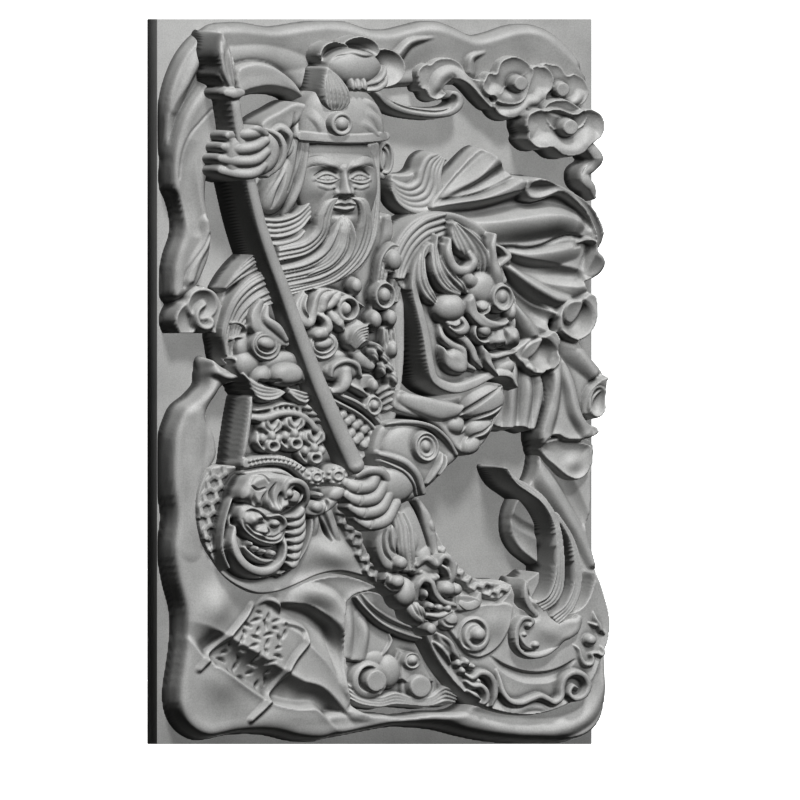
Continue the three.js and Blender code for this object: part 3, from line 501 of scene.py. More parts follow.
def beard():
    cut = beardCut
    c = Carving(cut)
    c.plate([(-74, 150), (-76, 128), (-90, 116), (-122, 106), (-144, 88), (-154, 60), (-154, 20), (-146, 12),
        (-136, 16), (-141, 38), (-126, 58), (-98, 70), (-50, 84), (-26, 102), (-14, 130), (-12, 196),
        (-19, 196), (-24, 150)], cut["top"], edge=cut["edge"])
    # the side lock, from the temple down past the ear
    c.strands([(-20, 197), (-20, 165), (-22, 140), (-27, 118), (-38, 100), (-56, 88), (-78, 81)], [(-12, 198),
        (-12.5, 165), (-13, 140), (-17, 118), (-29, 98), (-48, 84), (-72, 75)], 6,
        [1, 1.6, 1.8, 1.9, 1.8, 1.4, 0.6], [32, 35, 36, 37.5, 38.5, 38, 35], wave=0.6)
    # right half of the moustache, long to the left below
    c.strands([(-47, 152), (-39, 148), (-35, 139), (-36, 124), (-43, 106), (-60, 90), (-88, 82), (-112, 78)],
        [(-45, 153), (-32, 151), (-27, 140), (-26, 124), (-33, 104), (-54, 85), (-84, 75), (-108, 69)], 7,
        [0.4, 1.6, 2.1, 2.3, 2.2, 2, 1.7, 1.2], [44, 47, 46, 44.5, 43, 41, 39, 36], 0.85, wave=1)
    # the beard under the lip
    c.strands([(-52, 139), (-57, 132), (-63, 120), (-71, 108), (-86, 99), (-112, 93)], [(-49, 139),
        (-44, 132), (-41.5, 119), (-46, 103), (-66, 88), (-104, 78)], 13, [0.3, 0.9, 1.6, 2, 1.9, 1.3],
        [42, 46, 47.5, 46, 43, 37], wave=1.1)
    c.strands([(-51, 137), (-53, 126), (-57, 112), (-66, 100), (-84, 92)], [(-50, 137), (-48, 126),
        (-50, 110), (-60, 96), (-80, 86)], 4, [0.3, 1.6, 2, 1.8, 0.6], [43, 49, 49.5, 47, 42], wave=0.6)
    # left half of the moustache
    c.strands([(-56, 153), (-67, 149), (-73, 139), (-75, 126), (-84, 117), (-106, 112)], [(-55, 151),
        (-61, 146), (-64, 135), (-67, 120), (-80, 107), (-106, 100)], 7, [0.4, 1.7, 2.1, 2.1, 1.9, 1.3],
        [45, 47.5, 46.5, 45, 42, 36], 0.85, wave=0.9)
    c.strands([(-125, 107), (-136, 97), (-145, 87), (-152, 78)], [(-117, 93), (-130, 87), (-141, 82),
        (-151, 75)], 6, [1.4, 1.9, 1.8, 0.8], [34, 32, 30, 27], wave=0.8)
    c.strands([(-114, 93), (-132, 84), (-145, 71), (-152, 56), (-156, 40), (-152, 22)], [(-102, 68),
        (-121, 61), (-133, 52), (-140, 42), (-142, 30), (-145, 18)], 12, [1.6, 2, 2, 1.9, 1.7, 0.9],
        [38, 36.5, 35, 33.5, 32, 29], 0.85, wave=1)
    return c


flameLockCut = {"low": (-2, 132), "high": (62, 196), "cell": 0.6, "top": 23, "edge": 3, "deep": 3}


def flameLock():
    cut = flameLockCut
    c = Carving(cut)
    c.plate([(4, 172), (2, 160), (7, 150), (16, 141), (27, 138), (39, 140), (48, 148), (51, 158), (49, 167),
        (51, 177), (57, 184), (52, 187), (46, 190), (39, 190.5), (32, 186), (28, 178), (22, 173), (13, 172)],
        cut["top"], edge=cut["edge"], deep=cut["deep"])
    # bands that sweep from the tie round to the tip, each overlapping the next
    inner = [(5, 166), (11, 162), (20, 160), (28, 165), (31, 175), (36, 184), (46, 188)]
    outer = [(5, 158), (11, 149), (23, 142), (38, 143), (47, 154), (46, 170), (52, 184)]
    for k, share in enumerate((0, 0.26, 0.52, 0.76, 1)):
        c.ridge(c.between(inner, outer, share), [1.4, 3.4, 4, 4.2, 4.4, 3.8, 1.2], [24, 26 - 0.2 * k, 27.5,
            28, 28, 27.5, 25], 0.62, power=1.7)
    return c


topknotCut = {"low": (-92, 214), "high": (70, 292), "cell": 0.62, "top": 50, "edge": 4, "deep": 4, "bun": 53}


def topknot():
    cut = topknotCut
    c = Carving(cut)
    # scooped petals behind the bun
    c.dish((-9, 259.5), (20, 17), 37, 6, lip=0.93)
    c.dish((-31, 275), (18.5, 11.5), 37, 6, lip=0.92)
    c.dish((-53, 269), (17, 13), 38, 5, turn=-14, lip=0.92)
    c.bump((-4, 253), (9, 8), 3.2)
    # the bun and its folds
    c.dome((-41, 258), (27, 17.5), cut["bun"], 14, power=2.1)
    c.fold([(-58, 272), (-46, 275), (-34, 272), (-22, 273), (-15, 268)], (2, 4), [0, 1.8, 2.4, 2, 0], 1.1)
    c.groove([(-64, 264), (-56, 269), (-48, 270)], 1.6, [0, 1.4, 0])
    # knot and straps
    c.ridge([(-30, 246), (-22, 248.5), (-15, 255), (-12.5, 261)], [2, 2.8, 2.8, 1.4], [50, 52, 50, 45])
    c.ridge([(-31, 241), (-22, 242), (-14, 247), (-11, 253)], [2.4, 3.2, 3, 1.4], [50, 51.5, 49, 44])
    for x, wide in ((-46, 3.2), (-40.5, 3.6), (-35, 3.2)):
        c.dome((x, 245), (wide, 6.4), 54, 5, power=2.4)
    # ribbon out to the right, with a hook that joins the small cloud
    hook = [(-12, 240), (-2, 231.5), (13, 225.5), (30, 222.6), (46.7, 221.8), (60, 224), (66.6, 230),
        (65, 236.4), (60, 238.6), (57, 235)]
    c.ridge(hook, [3, 4.4, 4.6, 4.6, 4.6, 4.6, 4.4, 3.6, 2.8, 1.6], [30, 28, 26, 25, 25, 25, 25, 24.6, 24,
        22], 0.7)
    c.groove([(-8, 240), (2, 232), (15, 226.6), (32, 223.6), (47, 223), (58, 226), (62, 231), (60, 235)],
        [1.2, 1.4, 1.5, 1.5, 1.5, 1.5, 1.4, 1], [0.8, 1.8, 2, 2, 2, 2, 1.6, 0])
    # tassel: a bud of narrow petals
    c.plate([(-69, 260.5), (-63, 257), (-58, 252), (-51.5, 244), (-48.5, 234), (-51, 226), (-57, 222.5),
        (-64, 222.6), (-70, 228), (-73, 238), (-71.5, 249)], cut["top"], edge=cut["edge"], deep=cut["deep"])
    left = [(-69.5, 259), (-71, 250), (-72, 240), (-70.5, 230), (-66, 224.5)]
    right = [(-68.5, 260), (-58, 251), (-51, 240), (-50, 231), (-55, 225)]
    for k in range(7):
        lower = abs(k - 3) * 0.4
        c.ridge(c.between(left, right, k / 6), [0.5, 1.5, 2.1, 2.1, 1.1],
            [50, 53, 55.5 - lower, 54.5 - lower, 51], 1.1)
    return c


buttonDiscCut = {"low": (-72, 198), "high": (-38, 228), "cell": 0.6, "top": 56.5}


def buttonDisc():
    cut = buttonDiscCut
    c = Carving(cut)
    c.dome((-59, 213), (11.5, 11), cut["top"], 4)
    c.ring((-58.5, 213), (8.3, 8), 2.2, cut["top"] + 2, rise=0.8)
    c.dome((-58, 213), (6.4, 6.2), cut["top"] + 4, 5)
    return c


skyCloudsCut = {"low": (20, 144), "high": (202, 276), "cell": 0.75, "gain": 0.25, "knobRise": 1.6,
    "knobPower": 5}


def skyClouds():
    cut = skyCloudsCut
    c = Carving(cut)

    def cloud(outline, top, deep, edge):
        # a scalloped cloud, hollowed like a dish along its whole outline
        c.plate(outline, top - deep, edge=edge, deep=-deep)

    def core(centre, radii, top):
        # the flat knob from which a cloud winds out
        c.dome(centre, radii, top, cut["knobRise"], power=cut["knobPower"])

    # the small cloud, whose stem runs into the second
    cloud([(29.6, 250.5), (29, 257), (33, 262), (38, 264), (41, 263.4), (45, 266.6), (53, 268.8),
        (63.5, 267.6), (71, 262.7), (75.5, 255.5), (82, 251.4), (90.5, 249), (93, 240), (102, 226),
        (97, 225.5), (87, 233), (80, 240.5), (73, 246.1), (64.5, 249), (58.2, 246), (54, 241.6),
        (57.6, 238.6), (55, 234.9), (48, 232), (40, 234.5), (36.3, 240.1), (32, 241.6)], 23, 3.4, 8)
    c.fold([(43, 236), (46, 244), (51, 252), (60, 256), (70, 252), (79, 244), (88, 234), (98, 226)],
        [3, 6, 7, 6, 5, 4, 4, 2], [0, 3.2, 4, 3.4, 2.8, 2.6, 2.6, 0], 1.2)
    c.groove([(58, 246.6), (63, 251), (60, 256)], 1.6, [1.6, 1, 0])
    # third cloud, behind the others
    cloud([(143, 262), (148, 264.5), (154, 263.6), (161, 262.4), (165, 259), (168.8, 254.2), (174, 255.8),
        (180, 254), (185, 250.5), (188, 245.5), (189.7, 241), (188, 234), (184, 229), (176.8, 226),
        (160, 224), (147.5, 229), (140, 244)], 21, 4.5, 11)
    c.fold([(150, 236), (157, 230), (168, 229), (178, 234), (182, 242)], 5, [0, 3, 3.4, 3, 0], 1.2)
    core((161, 241.6), (7, 6.8), 25.5)
    # second cloud: a broad back layer and a curled front one
    cloud([(98.6, 230), (99.4, 225), (103, 220.5), (108, 217.6), (115, 216.6), (122.6, 218.5), (129.5, 225),
        (135, 224.2), (141, 226.5), (146, 230.5), (148.4, 237.6), (152, 241), (154, 247), (153.6, 253.5),
        (149.6, 258.6), (143.6, 261.4), (136, 262), (124.7, 253.3), (106, 242)], 25, 5, 11)
    c.fold([(104, 224), (112, 222), (121, 224), (130, 231), (139, 233), (145, 243)], (6, 5),
        [0, 3, 3, 2.4, 3, 0], 1.2)
    cloud([(88.8, 251), (87, 246), (88, 241), (91, 237.6), (97.4, 235), (101, 231.4), (106, 229.4),
        (112.8, 228.8), (119, 229.2), (124, 231.4), (128.5, 237), (130.4, 243), (132.6, 249), (134.4, 255),
        (132.7, 261), (128, 266), (122, 269.2), (115, 270), (108, 268.3), (103, 265), (100.6, 259.6),
        (99.4, 256), (94, 257), (90.4, 254.6)], 28, 6, 12)
    c.fold([(94, 243), (102, 240), (108, 236), (117, 236), (124, 241)], 6, [0, 3, 3.4, 3, 0], 1.2)
    core((118.5, 246.7), (7.4, 7), 33.5)
    # fourth cloud, the highest
    cloud([(140, 224), (143, 229.6), (149, 233), (156, 234), (163, 233.6), (169, 230.6), (176, 226),
        (182, 222), (176, 210), (150, 208)], 33, 5, 9)
    cloud([(122.6, 212), (123, 218), (126.6, 223), (132.5, 225.4), (138, 225.8), (143, 224.6), (148, 226),
        (156, 225.4), (163, 223), (169, 222), (175, 225), (181, 226.8), (188, 225), (193.6, 221),
        (196.4, 214.5), (196, 207), (192.8, 201.4), (187, 197.6), (182.4, 194.6), (178.6, 189.8),
        (172, 186.4), (163.6, 185.2), (155, 186.6), (149.6, 190.4), (146, 192.6), (140, 191.6), (133, 192.6),
        (128, 195.8), (124.6, 200), (125, 205)], 37, 7.5, 15)
    c.fold([(132, 204), (140, 199), (148, 198), (158, 193), (170, 193), (180, 201), (188, 208)], (8, 7),
        [0, 3, 3.4, 4.4, 4.4, 3.4, 0], 1.3)
    c.groove([(143, 223.4), (153, 221.4), (162, 218.6), (168, 213), (168.6, 208)], [2, 2.4, 2.4, 2.2, 1.6],
        [0.4, 1.6, 2.2, 2, 0.4])
    core((160.5, 210.4), (8, 7.4), 41)
    # the tail that winds down beneath it
    c.ridge([(186, 193), (191.6, 184.6), (188, 177.6), (181, 172.4), (182, 166.4), (187.6, 160.6),
        (191.4, 152)], [6, 6.4, 5.6, 5.6, 6, 5, 2.6], [30, 30, 27, 26, 27, 26, 23], 0.75)
    c.groove([(182, 189), (186, 182), (182, 176.6), (178, 171)], 1.4, [0, 1.8, 1.8, 0])
    return c


capeCut = {"low": (30, -86), "high": (202, 198), "cell": 0.94, "top": 31, "edge": 4, "deep": 3, "lining": 33,
    "rolls": 37}


def cape():
    cut = capeCut
    c = Carving(cut)
    # the shoulder cloth, with its fold over the arm
    c.plate([(34, 144), (46, 160), (64, 177), (85, 194), (92, 192), (102, 183), (114, 171.5), (126, 169),
        (120, 156), (90, 140), (50, 138)], cut["top"], edge=cut["edge"], deep=cut["deep"])
    c.fold([(40, 146), (54, 160), (70, 176), (84, 190)], (9, 12), [0, -3, -6, -6], 1.3)
    c.fold([(46, 151), (64, 162), (82, 173), (97, 184)], ([3, 6, 9, 10], [3, 6, 8, 8]), [0, 2.6, 4.4, 4], 1.4)
    c.fold([(50, 151), (74, 160), (94, 169), (108, 176)], ([2, 5, 7, 7], [2, 4, 6, 6]), [0, -2.2, -3.4, -3],
        1.4)
    # the cape over the arm: a deep hollow between two great folds
    c.plate([(34, 142), (42, 149), (60, 151), (82, 155), (100, 162), (114, 169.5), (120, 170.5), (134, 169),
        (150, 164.4), (168, 156.4), (184, 147), (194, 135.6), (199.6, 124), (200, 116), (197, 108),
        (194, 104), (196, 98), (194, 90), (187, 84.4), (176, 80), (183, 72), (188, 62), (186, 48), (176, 36),
        (166, 34), (155, 42), (150, 52), (144, 20), (140, 6), (128, 6), (118, 14), (108, 30), (92, 60),
        (84, 112), (60, 134)], 31, edge=4, deep=3)
    c.fold([(36, 144), (56, 147.6), (80, 151), (100, 157.6), (118, 165)], ([2, 3, 4, 6, 6],
        [5, 7, 10, 12, 12]), [2, 5, 8, 9, 6], 1.3)
    c.fold([(46, 150.4), (62, 151.8), (82, 155.6), (104, 163.4)], 1.3, -1.6, 1.2)
    c.fold([(40, 139), (66, 140), (92, 143), (118, 147.6), (146, 150), (172, 142), (184, 130)],
        ([7, 9, 10, 11, 11, 8, 5], [6, 8, 11, 12, 12, 9, 6]), [-3, -9, -13, -14, -12, -7, -2], 1.5)
    c.fold([(72, 127), (96, 129.4), (122, 132), (148, 134.6), (168, 132)], ([8, 12, 14, 14, 12],
        [10, 15, 17, 16, 12]), [2, 7, 10, 10, 5], 1.4)
    # the lining shows where the edge turns over
    c.plate([(123.5, 163), (122, 156.4), (125, 151), (131, 149.6), (142, 152.4), (152, 156.4), (158, 155.6),
        (170, 148), (180, 138), (187, 126), (190, 114), (193.4, 104), (199.6, 117), (198.6, 127), (193, 137),
        (183, 148), (167, 157.6), (150, 165), (134, 169.4), (126, 167.6)], cut["lining"], edge=1.4, deep=1.4,
        lean=(0.05, 0.42), over=True)
    c.fold([(127, 160), (140, 161), (152, 161.6), (168, 155), (182, 144), (192, 130), (196, 114)],
        ([6, 6, 5, 5, 4.5, 4.5, 4], [8, 9, 7, 6, 6, 5, 4]), [-2, -4, -3.4, -3, -3, -3, -1], 1.2)
    c.ridge([(124, 151.6), (131, 149.6), (142, 152.4), (152, 156), (160, 154.6), (171, 147), (181, 136.6),
        (188, 124), (191, 112)], [1, 1.2, 1.3, 1.3, 1.3, 1.3, 1.2, 1, 0.7], [29, 30, 31.6, 33.4, 34.4, 35, 35,
        34, 32])
    # the cloth beneath the great fold runs out in three more
    c.plate([(100, 109.6), (112, 110), (124, 108.4), (138, 110.6), (152, 116), (163, 119), (174, 118),
        (181.6, 114), (180, 106), (176, 98), (174, 88), (178, 80), (184, 70), (187, 58), (178, 48), (155, 56),
        (130, 66), (104, 90)], 30, edge=2, deep=2, over=True)
    c.groove([(98, 110.6), (112, 111.4), (124, 110), (138, 112), (152, 117.6), (164, 121), (176, 119)], 1.9,
        3.2)
    c.fold([(102, 108.6), (124, 105), (146, 106.6), (166, 110)], ([3, 5, 6, 5], [5, 10, 12, 10]),
        [1, 5, 6, 3], 1.3)
    c.fold([(104, 104), (122, 96), (146, 90), (170, 86)], [4, 7, 9, 8], [-1, -5, -6, -5], 1.4)
    c.fold([(103, 98), (118, 86), (134, 76), (150, 68.6), (163, 66)], [4, 6, 8, 8, 6], [3, 8, 10, 9, 5], 1.3)
    c.fold([(104, 88), (114, 74), (130, 60), (146, 50)], ([4, 7, 9, 8], [4, 8, 10, 9]), [-3, -7, -9, -8], 1.4)
    c.fold([(106, 74), (114, 60), (124, 46), (134, 32)], ([4, 6, 8, 7], [4, 7, 9, 8]), [2, 6, 7, 5], 1.3)
    c.fold([(96, 60), (108, 44), (118, 28)], 8, -6, 1.3)
    c.ridge([(84, 116), (88, 108), (94, 96), (100, 84)], [4, 5, 6, 6], [36, 37, 37, 36], 0.7)
    c.ridge([(96, 112), (99, 106), (105, 105), (106, 99)], [2, 3.2, 3.2, 2.4], [36, 38, 38, 36])
    # the folds end in rolls, open at their ends
    c.plate([(172, 115), (178, 116), (183, 112), (181, 104), (178, 96), (176, 90), (178, 85.6), (184, 84.6),
        (190, 87), (194, 92), (195.6, 99), (193, 104), (188, 108), (186, 114), (182, 119)], cut["rolls"],
        edge=4, deep=4, lean=(0.1, 0.35))
    c.bump((176, 78), (11, 9), 6, -20)
    c.bump((147, 52), (10, 10), 6, -50)
    c.plate([(150, 50), (153, 60), (160, 66.4), (170, 68), (180, 74), (186, 72), (188, 58), (186, 46),
        (178, 36), (168, 32.6), (158, 36), (151, 42)], 38, edge=3, deep=2.4)
    c.dish((168.6, 51.6), (14.6, 16.5), 37, 9, turn=-20, lip=0.95)
    c.plate([(156.6, 59), (158.4, 64), (164, 67), (173.4, 66), (172.4, 57.4), (164.6, 47.4), (158.4, 50)], 37,
        edge=1.4, lean=(-0.12, 0.22), over=True)
    c.plate([(108, 24), (116, 31), (126, 36), (138, 38), (149, 43), (154, 36), (153, 26), (149, 16), (139, 7),
        (128, 5), (118, 13)], 36, edge=3, deep=2.4)
    c.dish((137.4, 22.6), (17, 14.4), 35.6, 9, turn=-30, lip=0.95)
    c.plate([(117.6, 24), (121, 28), (128, 33.4), (137, 35.4), (135.4, 29), (130, 21.4), (123.4, 18.6),
        (118, 20.4)], 35.6, edge=1.4, lean=(-0.1, 0.2), over=True)
    # the hanging cloth under the elbow
    c.plate([(108, 26), (122, 12), (138, 8), (142, -1), (143.6, -12), (140, -24), (134, -40), (128, -41.5),
        (119, -39), (110, -40), (101, -39.6), (93, -36), (98, -24), (104, -8), (110, 4)], 28, edge=2)
    c.fold([(114, 14), (112, -6), (110, -40)], ([6, 7, 8], [5, 6, 7]), [3, 5, 4], 1.2)
    c.fold([(126, 10), (126, -10), (122, -40)], [5, 7, 7], [3, 5, 4.4], 1.2)
    c.fold([(136, 6), (137, -14), (130, -40)], 5, 2.4, 1.2)
    # two long folds that hang at the right, the left one higher
    c.plate([(148, 30), (160, 44), (170, 40), (184, 24), (199, 5.6), (197, 2), (188, 1), (182, -8),
        (180, -22), (179, -33), (170, -30), (162, -10), (152, 12)], 27, edge=2)
    c.fold([(158, 38), (172, 24), (188, 7)], ([6, 8, 6], [10, 12, 8]), [2, 5, 4], 1.3)
    c.plate([(152, 24), (145, 16), (146, 4), (145, -8), (140, -26), (136, -44), (139, -54.6), (145, -48.6),
        (152, -45.6), (161, -49), (172, -49.6), (184, -47.6), (191.4, -43), (190, -37), (182, -33.6),
        (176, -28), (172, -14), (168, 2), (162, 14)], 32, edge=2.4)
    c.fold([(152, 20), (152, 0), (148, -24), (142, -46)], ([4, 5, 6, 5], [6, 8, 9, 8]), [2, 4, 4, 2], 1.2)
    c.fold([(157, 14), (163, -6), (168, -26), (178, -42)], ([5, 7, 8, 7], [4, 5, 6, 6]), [1, 4, 5, 3], 1.2)
    c.plate([(178, -26), (179, -12), (184, -3), (191, 2.6), (199, 4.4), (198.6, -2), (198, -16), (197.4, -26),
        (192, -31.4), (184, -30.6)], 31, edge=1.6, lean=(0, 0.2))
    c.dish((190, -17), (8.4, 13.6), 33, 5, turn=-8, lip=0.93)
    c.ridge([(184, -24), (187, -13), (197, -4)], [0.8, 1.4, 0.8], [30, 31, 32])
    # the scooped lobe under them
    c.plate([(138, -54), (150, -47), (176, -49), (187, -52), (188.4, -62), (187, -72), (181, -80),
        (173, -82.4), (163, -79.4), (152, -71), (142, -63)], 24, edge=14, deep=-5)
    c.bump((170, -68), (9, 7), 2.6, 20)
    return c


sideClothCut = {"low": (106, -202), "high": (201, -44), "cell": 0.95, "top": 18, "edge": 2.4}


def sideCloth():
    cut = sideClothCut
    c = Carving(cut)
    c.plate([(138, -48), (139.8, -60), (138.6, -70), (135, -80), (129, -88.6), (121, -97), (116.4, -107),
        (115, -118), (117, -129.6), (124, -140), (134.4, -147.8), (142.6, -153.6), (150, -164), (152, -180),
        (196, -180), (196.6, -160), (192, -142), (187.6, -125), (190.6, -108), (191.6, -82), (191, -48)],
        cut["top"], edge=cut["edge"])
    c.fold([(140, -66), (146, -80), (154, -92), (166, -110), (180, -130), (191, -150)],
        ([6, 10, 11, 11, 9, 6], [6, 10, 10, 8, 7, 6]), [3, 6, 7, 6, 4, 3], 1.3)
    c.fold([(150, -58), (160, -74), (172, -94), (184, -116)], ([6, 8, 9, 7], 8), [-1, -3.4, -4, -2], 1.3)
    c.fold([(118, -114), (128, -120), (142, -126)], 5, -1.6, 1.3)
    return c


shoulderGuardCut = {"low": (-8, -16), "high": (116, 144), "cell": 0.66, "top": 44, "edge": 5, "deep": 4,
    "guard": 47, "rim": 52}


def shoulderGuard():
    cut = shoulderGuardCut
    c = Carving(cut)
    # the collar's folded cloth over the shoulder
    c.plate([(-6, 92), (-4, 112), (8, 130), (24, 139), (44, 141.5), (62, 138), (80, 128), (92, 116), (92, 96),
        (60, 90), (20, 84), (6, 74)], cut["top"], edge=cut["edge"], deep=cut["deep"])
    for i in range(4):
        inset = 4.6 * i
        c.ridge([(-3 + inset * 0.5, 86), (0 + inset * 0.8, 104 - inset * 0.4),
            (10 + inset * 0.5, 121 - inset), (24 + inset * 0.3, 132 - inset * 1.1), (42, 138 - inset * 1.2)],
            [2, 2.8, 3, 3, 2], [46 + i * 0.5] * 5, 0.8)
    # the guard itself, with its broad rim
    c.plate([(34, 122), (22, 114), (11, 98), (8, 76), (13, 56), (18, 36), (22, 14), (26, 0), (36, -8),
        (50, -11), (66, -7), (80, 0), (92, 3), (101, 0), (108, -9), (106, 8), (103, 20), (108, 34), (108, 52),
        (104, 68), (96, 86), (88, 98), (80, 116), (60, 128)], cut["guard"])
    c.ridge([(26, 112), (15, 97), (12, 76), (17, 56), (22, 36), (26, 14), (30, 2), (40, -4), (51, -6),
        (66, -2), (80, 4), (93, 7), (101, 4), (105, -4)], [3.4, 4, 4.4, 4.6, 4.6, 4.6, 4.6, 4.8, 5, 4.8, 4,
        3.6, 3, 2], cut["rim"], 0.7, power=2.6)
    # flame locks of the mane
    for line, half, crest in (([(22, 112), (18, 100), (18, 84), (24, 72), (33, 64)], [1, 4, 6, 6, 3],
            [51, 54, 56, 56, 53]), ([(32, 121), (30, 105), (32, 90), (41, 78), (52, 73)], [1, 4.4, 6.4, 6, 3],
            [52, 55, 58, 58, 55]), ([(37, 114), (38, 102), (44, 90), (53, 81), (58, 74)], [1, 3.6, 5, 4.8, 2],
            [53, 56, 59, 59, 56])):
        c.ridge(line, half, crest, 0.8)
        for side in (-1, 1):
            inner = [(x + side * 1.9, z) for x, z in line]
            c.groove(inner, [0.5, 1.1, 1.3, 1.2, 0.5], [0.5, 1.4, 1.8, 1.4, 0.5])
    c.strands([(45, 131), (46, 121), (50, 111), (56, 104)], [(50, 132), (66, 119), (78, 102), (80, 84)], 8,
        [0.8, 2, 2.4, 1.4], [52, 55, 56, 53], 1, wave=1)
    # horns
    c.ridge([(42, 117), (40, 107), (43, 97), (50, 91), (58, 92), (63, 99), (60, 106)],
        [2.4, 4, 4.6, 5, 5, 4.4, 3], [56, 59, 60, 61, 60, 60, 58])
    c.ridge([(52, 91), (60, 84), (68, 80)], [5, 6, 6], [60, 60, 58], 0.7)
    c.ridge([(84, 121), (81, 112), (82, 100), (84, 90), (86, 80)], [2.6, 3.6, 3.8, 5, 6],
        [55, 58, 59, 60, 59])
    c.ridge([(84, 94), (90, 98), (96, 103), (92, 109), (87, 112)], [3, 3.4, 3.6, 3, 2], [57, 57, 57, 56, 55])
    # skull, cheek, brow crescent and muzzle of the beast
    c.dome((74, 76), (17, 15), 60, 10, turn=-12, power=2.2)
    c.dome((44, 60), (16, 14), 61.4, 14, power=2.1)
    c.plate([(56, 68), (62, 72), (66, 66), (70, 58), (78, 52), (88, 50), (96, 52), (93, 46), (84, 42),
        (72, 43), (62, 49), (56, 58)], 60.6, edge=4.4, deep=4)
    c.dome((72, 61), (8, 7), 60.4, 5)
    c.groove([(64, 66), (68, 58), (74, 58), (77, 63)], [0.8, 2, 2, 0.8], [0.8, 3.4, 3.4, 0.8])
    c.plate([(38, 50), (46, 52), (52, 56), (58, 52), (61, 44), (57, 38), (48, 37), (40, 43)], 59, edge=6,
        deep=5)
    c.groove([(41, 46), (47, 44), (52, 47), (51, 51)], [1, 2.2, 2, 1], [1, 3.6, 3.4, 1])
    c.dome((88, 69), (10.4, 12), 61, 5, power=2.6)
    c.ring((88, 69), (8.6, 10), 1.8, 62.6)
    c.domes((88, 70, 5.8, 6.8, 62.8, 5), (99, 58, 5.4, 8, 57, 6))
    c.ridge([(99, 78), (103, 68), (103, 56), (99, 48)], [1.6, 2, 2, 1.4], [52, 53, 53, 52])
    c.ring((73, 41), (8.6, 8.6), 2, 57.6)
    c.dome((74, 43), (7, 7), 60.4, 6)
    c.plate([(80, 40), (84, 45), (90, 46), (96, 45.6), (103, 45), (106, 38), (105, 30), (98, 26), (90, 27.4),
        (82, 26), (76, 30), (76, 36)], 60, edge=7, deep=8)
    c.bump((85, 34), (6.4, 5), 4)
    c.bump((98, 36.6), (5, 5), 4)
    c.groove([(91, 45), (91.6, 38), (92, 29)], [1, 2.6, 1], [0.6, 3, 0.6])
    c.groove([(80, 31), (85, 28.4), (89.6, 31)], [1, 1.8, 1], [0.6, 2.8, 0.6])
    c.ridge([(73, 30), (75, 23), (82, 20.6), (92, 22.6), (105, 24.6)], [2.2, 3, 3.2, 3, 2],
        [54, 56.6, 57, 56, 53], 0.8)
    c.plate([(73, 28), (79, 24), (81, 17), (87, 4), (77, 11), (72, 19)], 57.6, edge=3, deep=4)
    c.dome((95, 12), (11, 8.5), 51.5, 6, turn=15)
    # cloth and the drop under the jaw
    c.ridge([(36, 46), (38, 37), (46, 30), (56, 25), (58, 15), (68, 10)], [2.4, 3.4, 4, 4, 3.6, 2],
        [51, 53, 54, 54, 54, 51], 0.8)
    c.ridge([(48, 40), (57, 35), (64, 27), (68, 18), (74, 12)], [3, 4, 4, 3.6, 2], [52, 54, 54, 54, 52], 0.7)
    c.plate([(36, 30), (35.6, 20), (39, 11), (48, 6), (57, 7), (60, 15), (55, 24), (47, 27), (41, 26)], 57.6,
        edge=8, deep=6)
    return c


lowerArmCut = {"low": (-38, -108), "high": (108, 4), "cell": 0.7, "top": 44, "edge": 5, "bracer": 50}


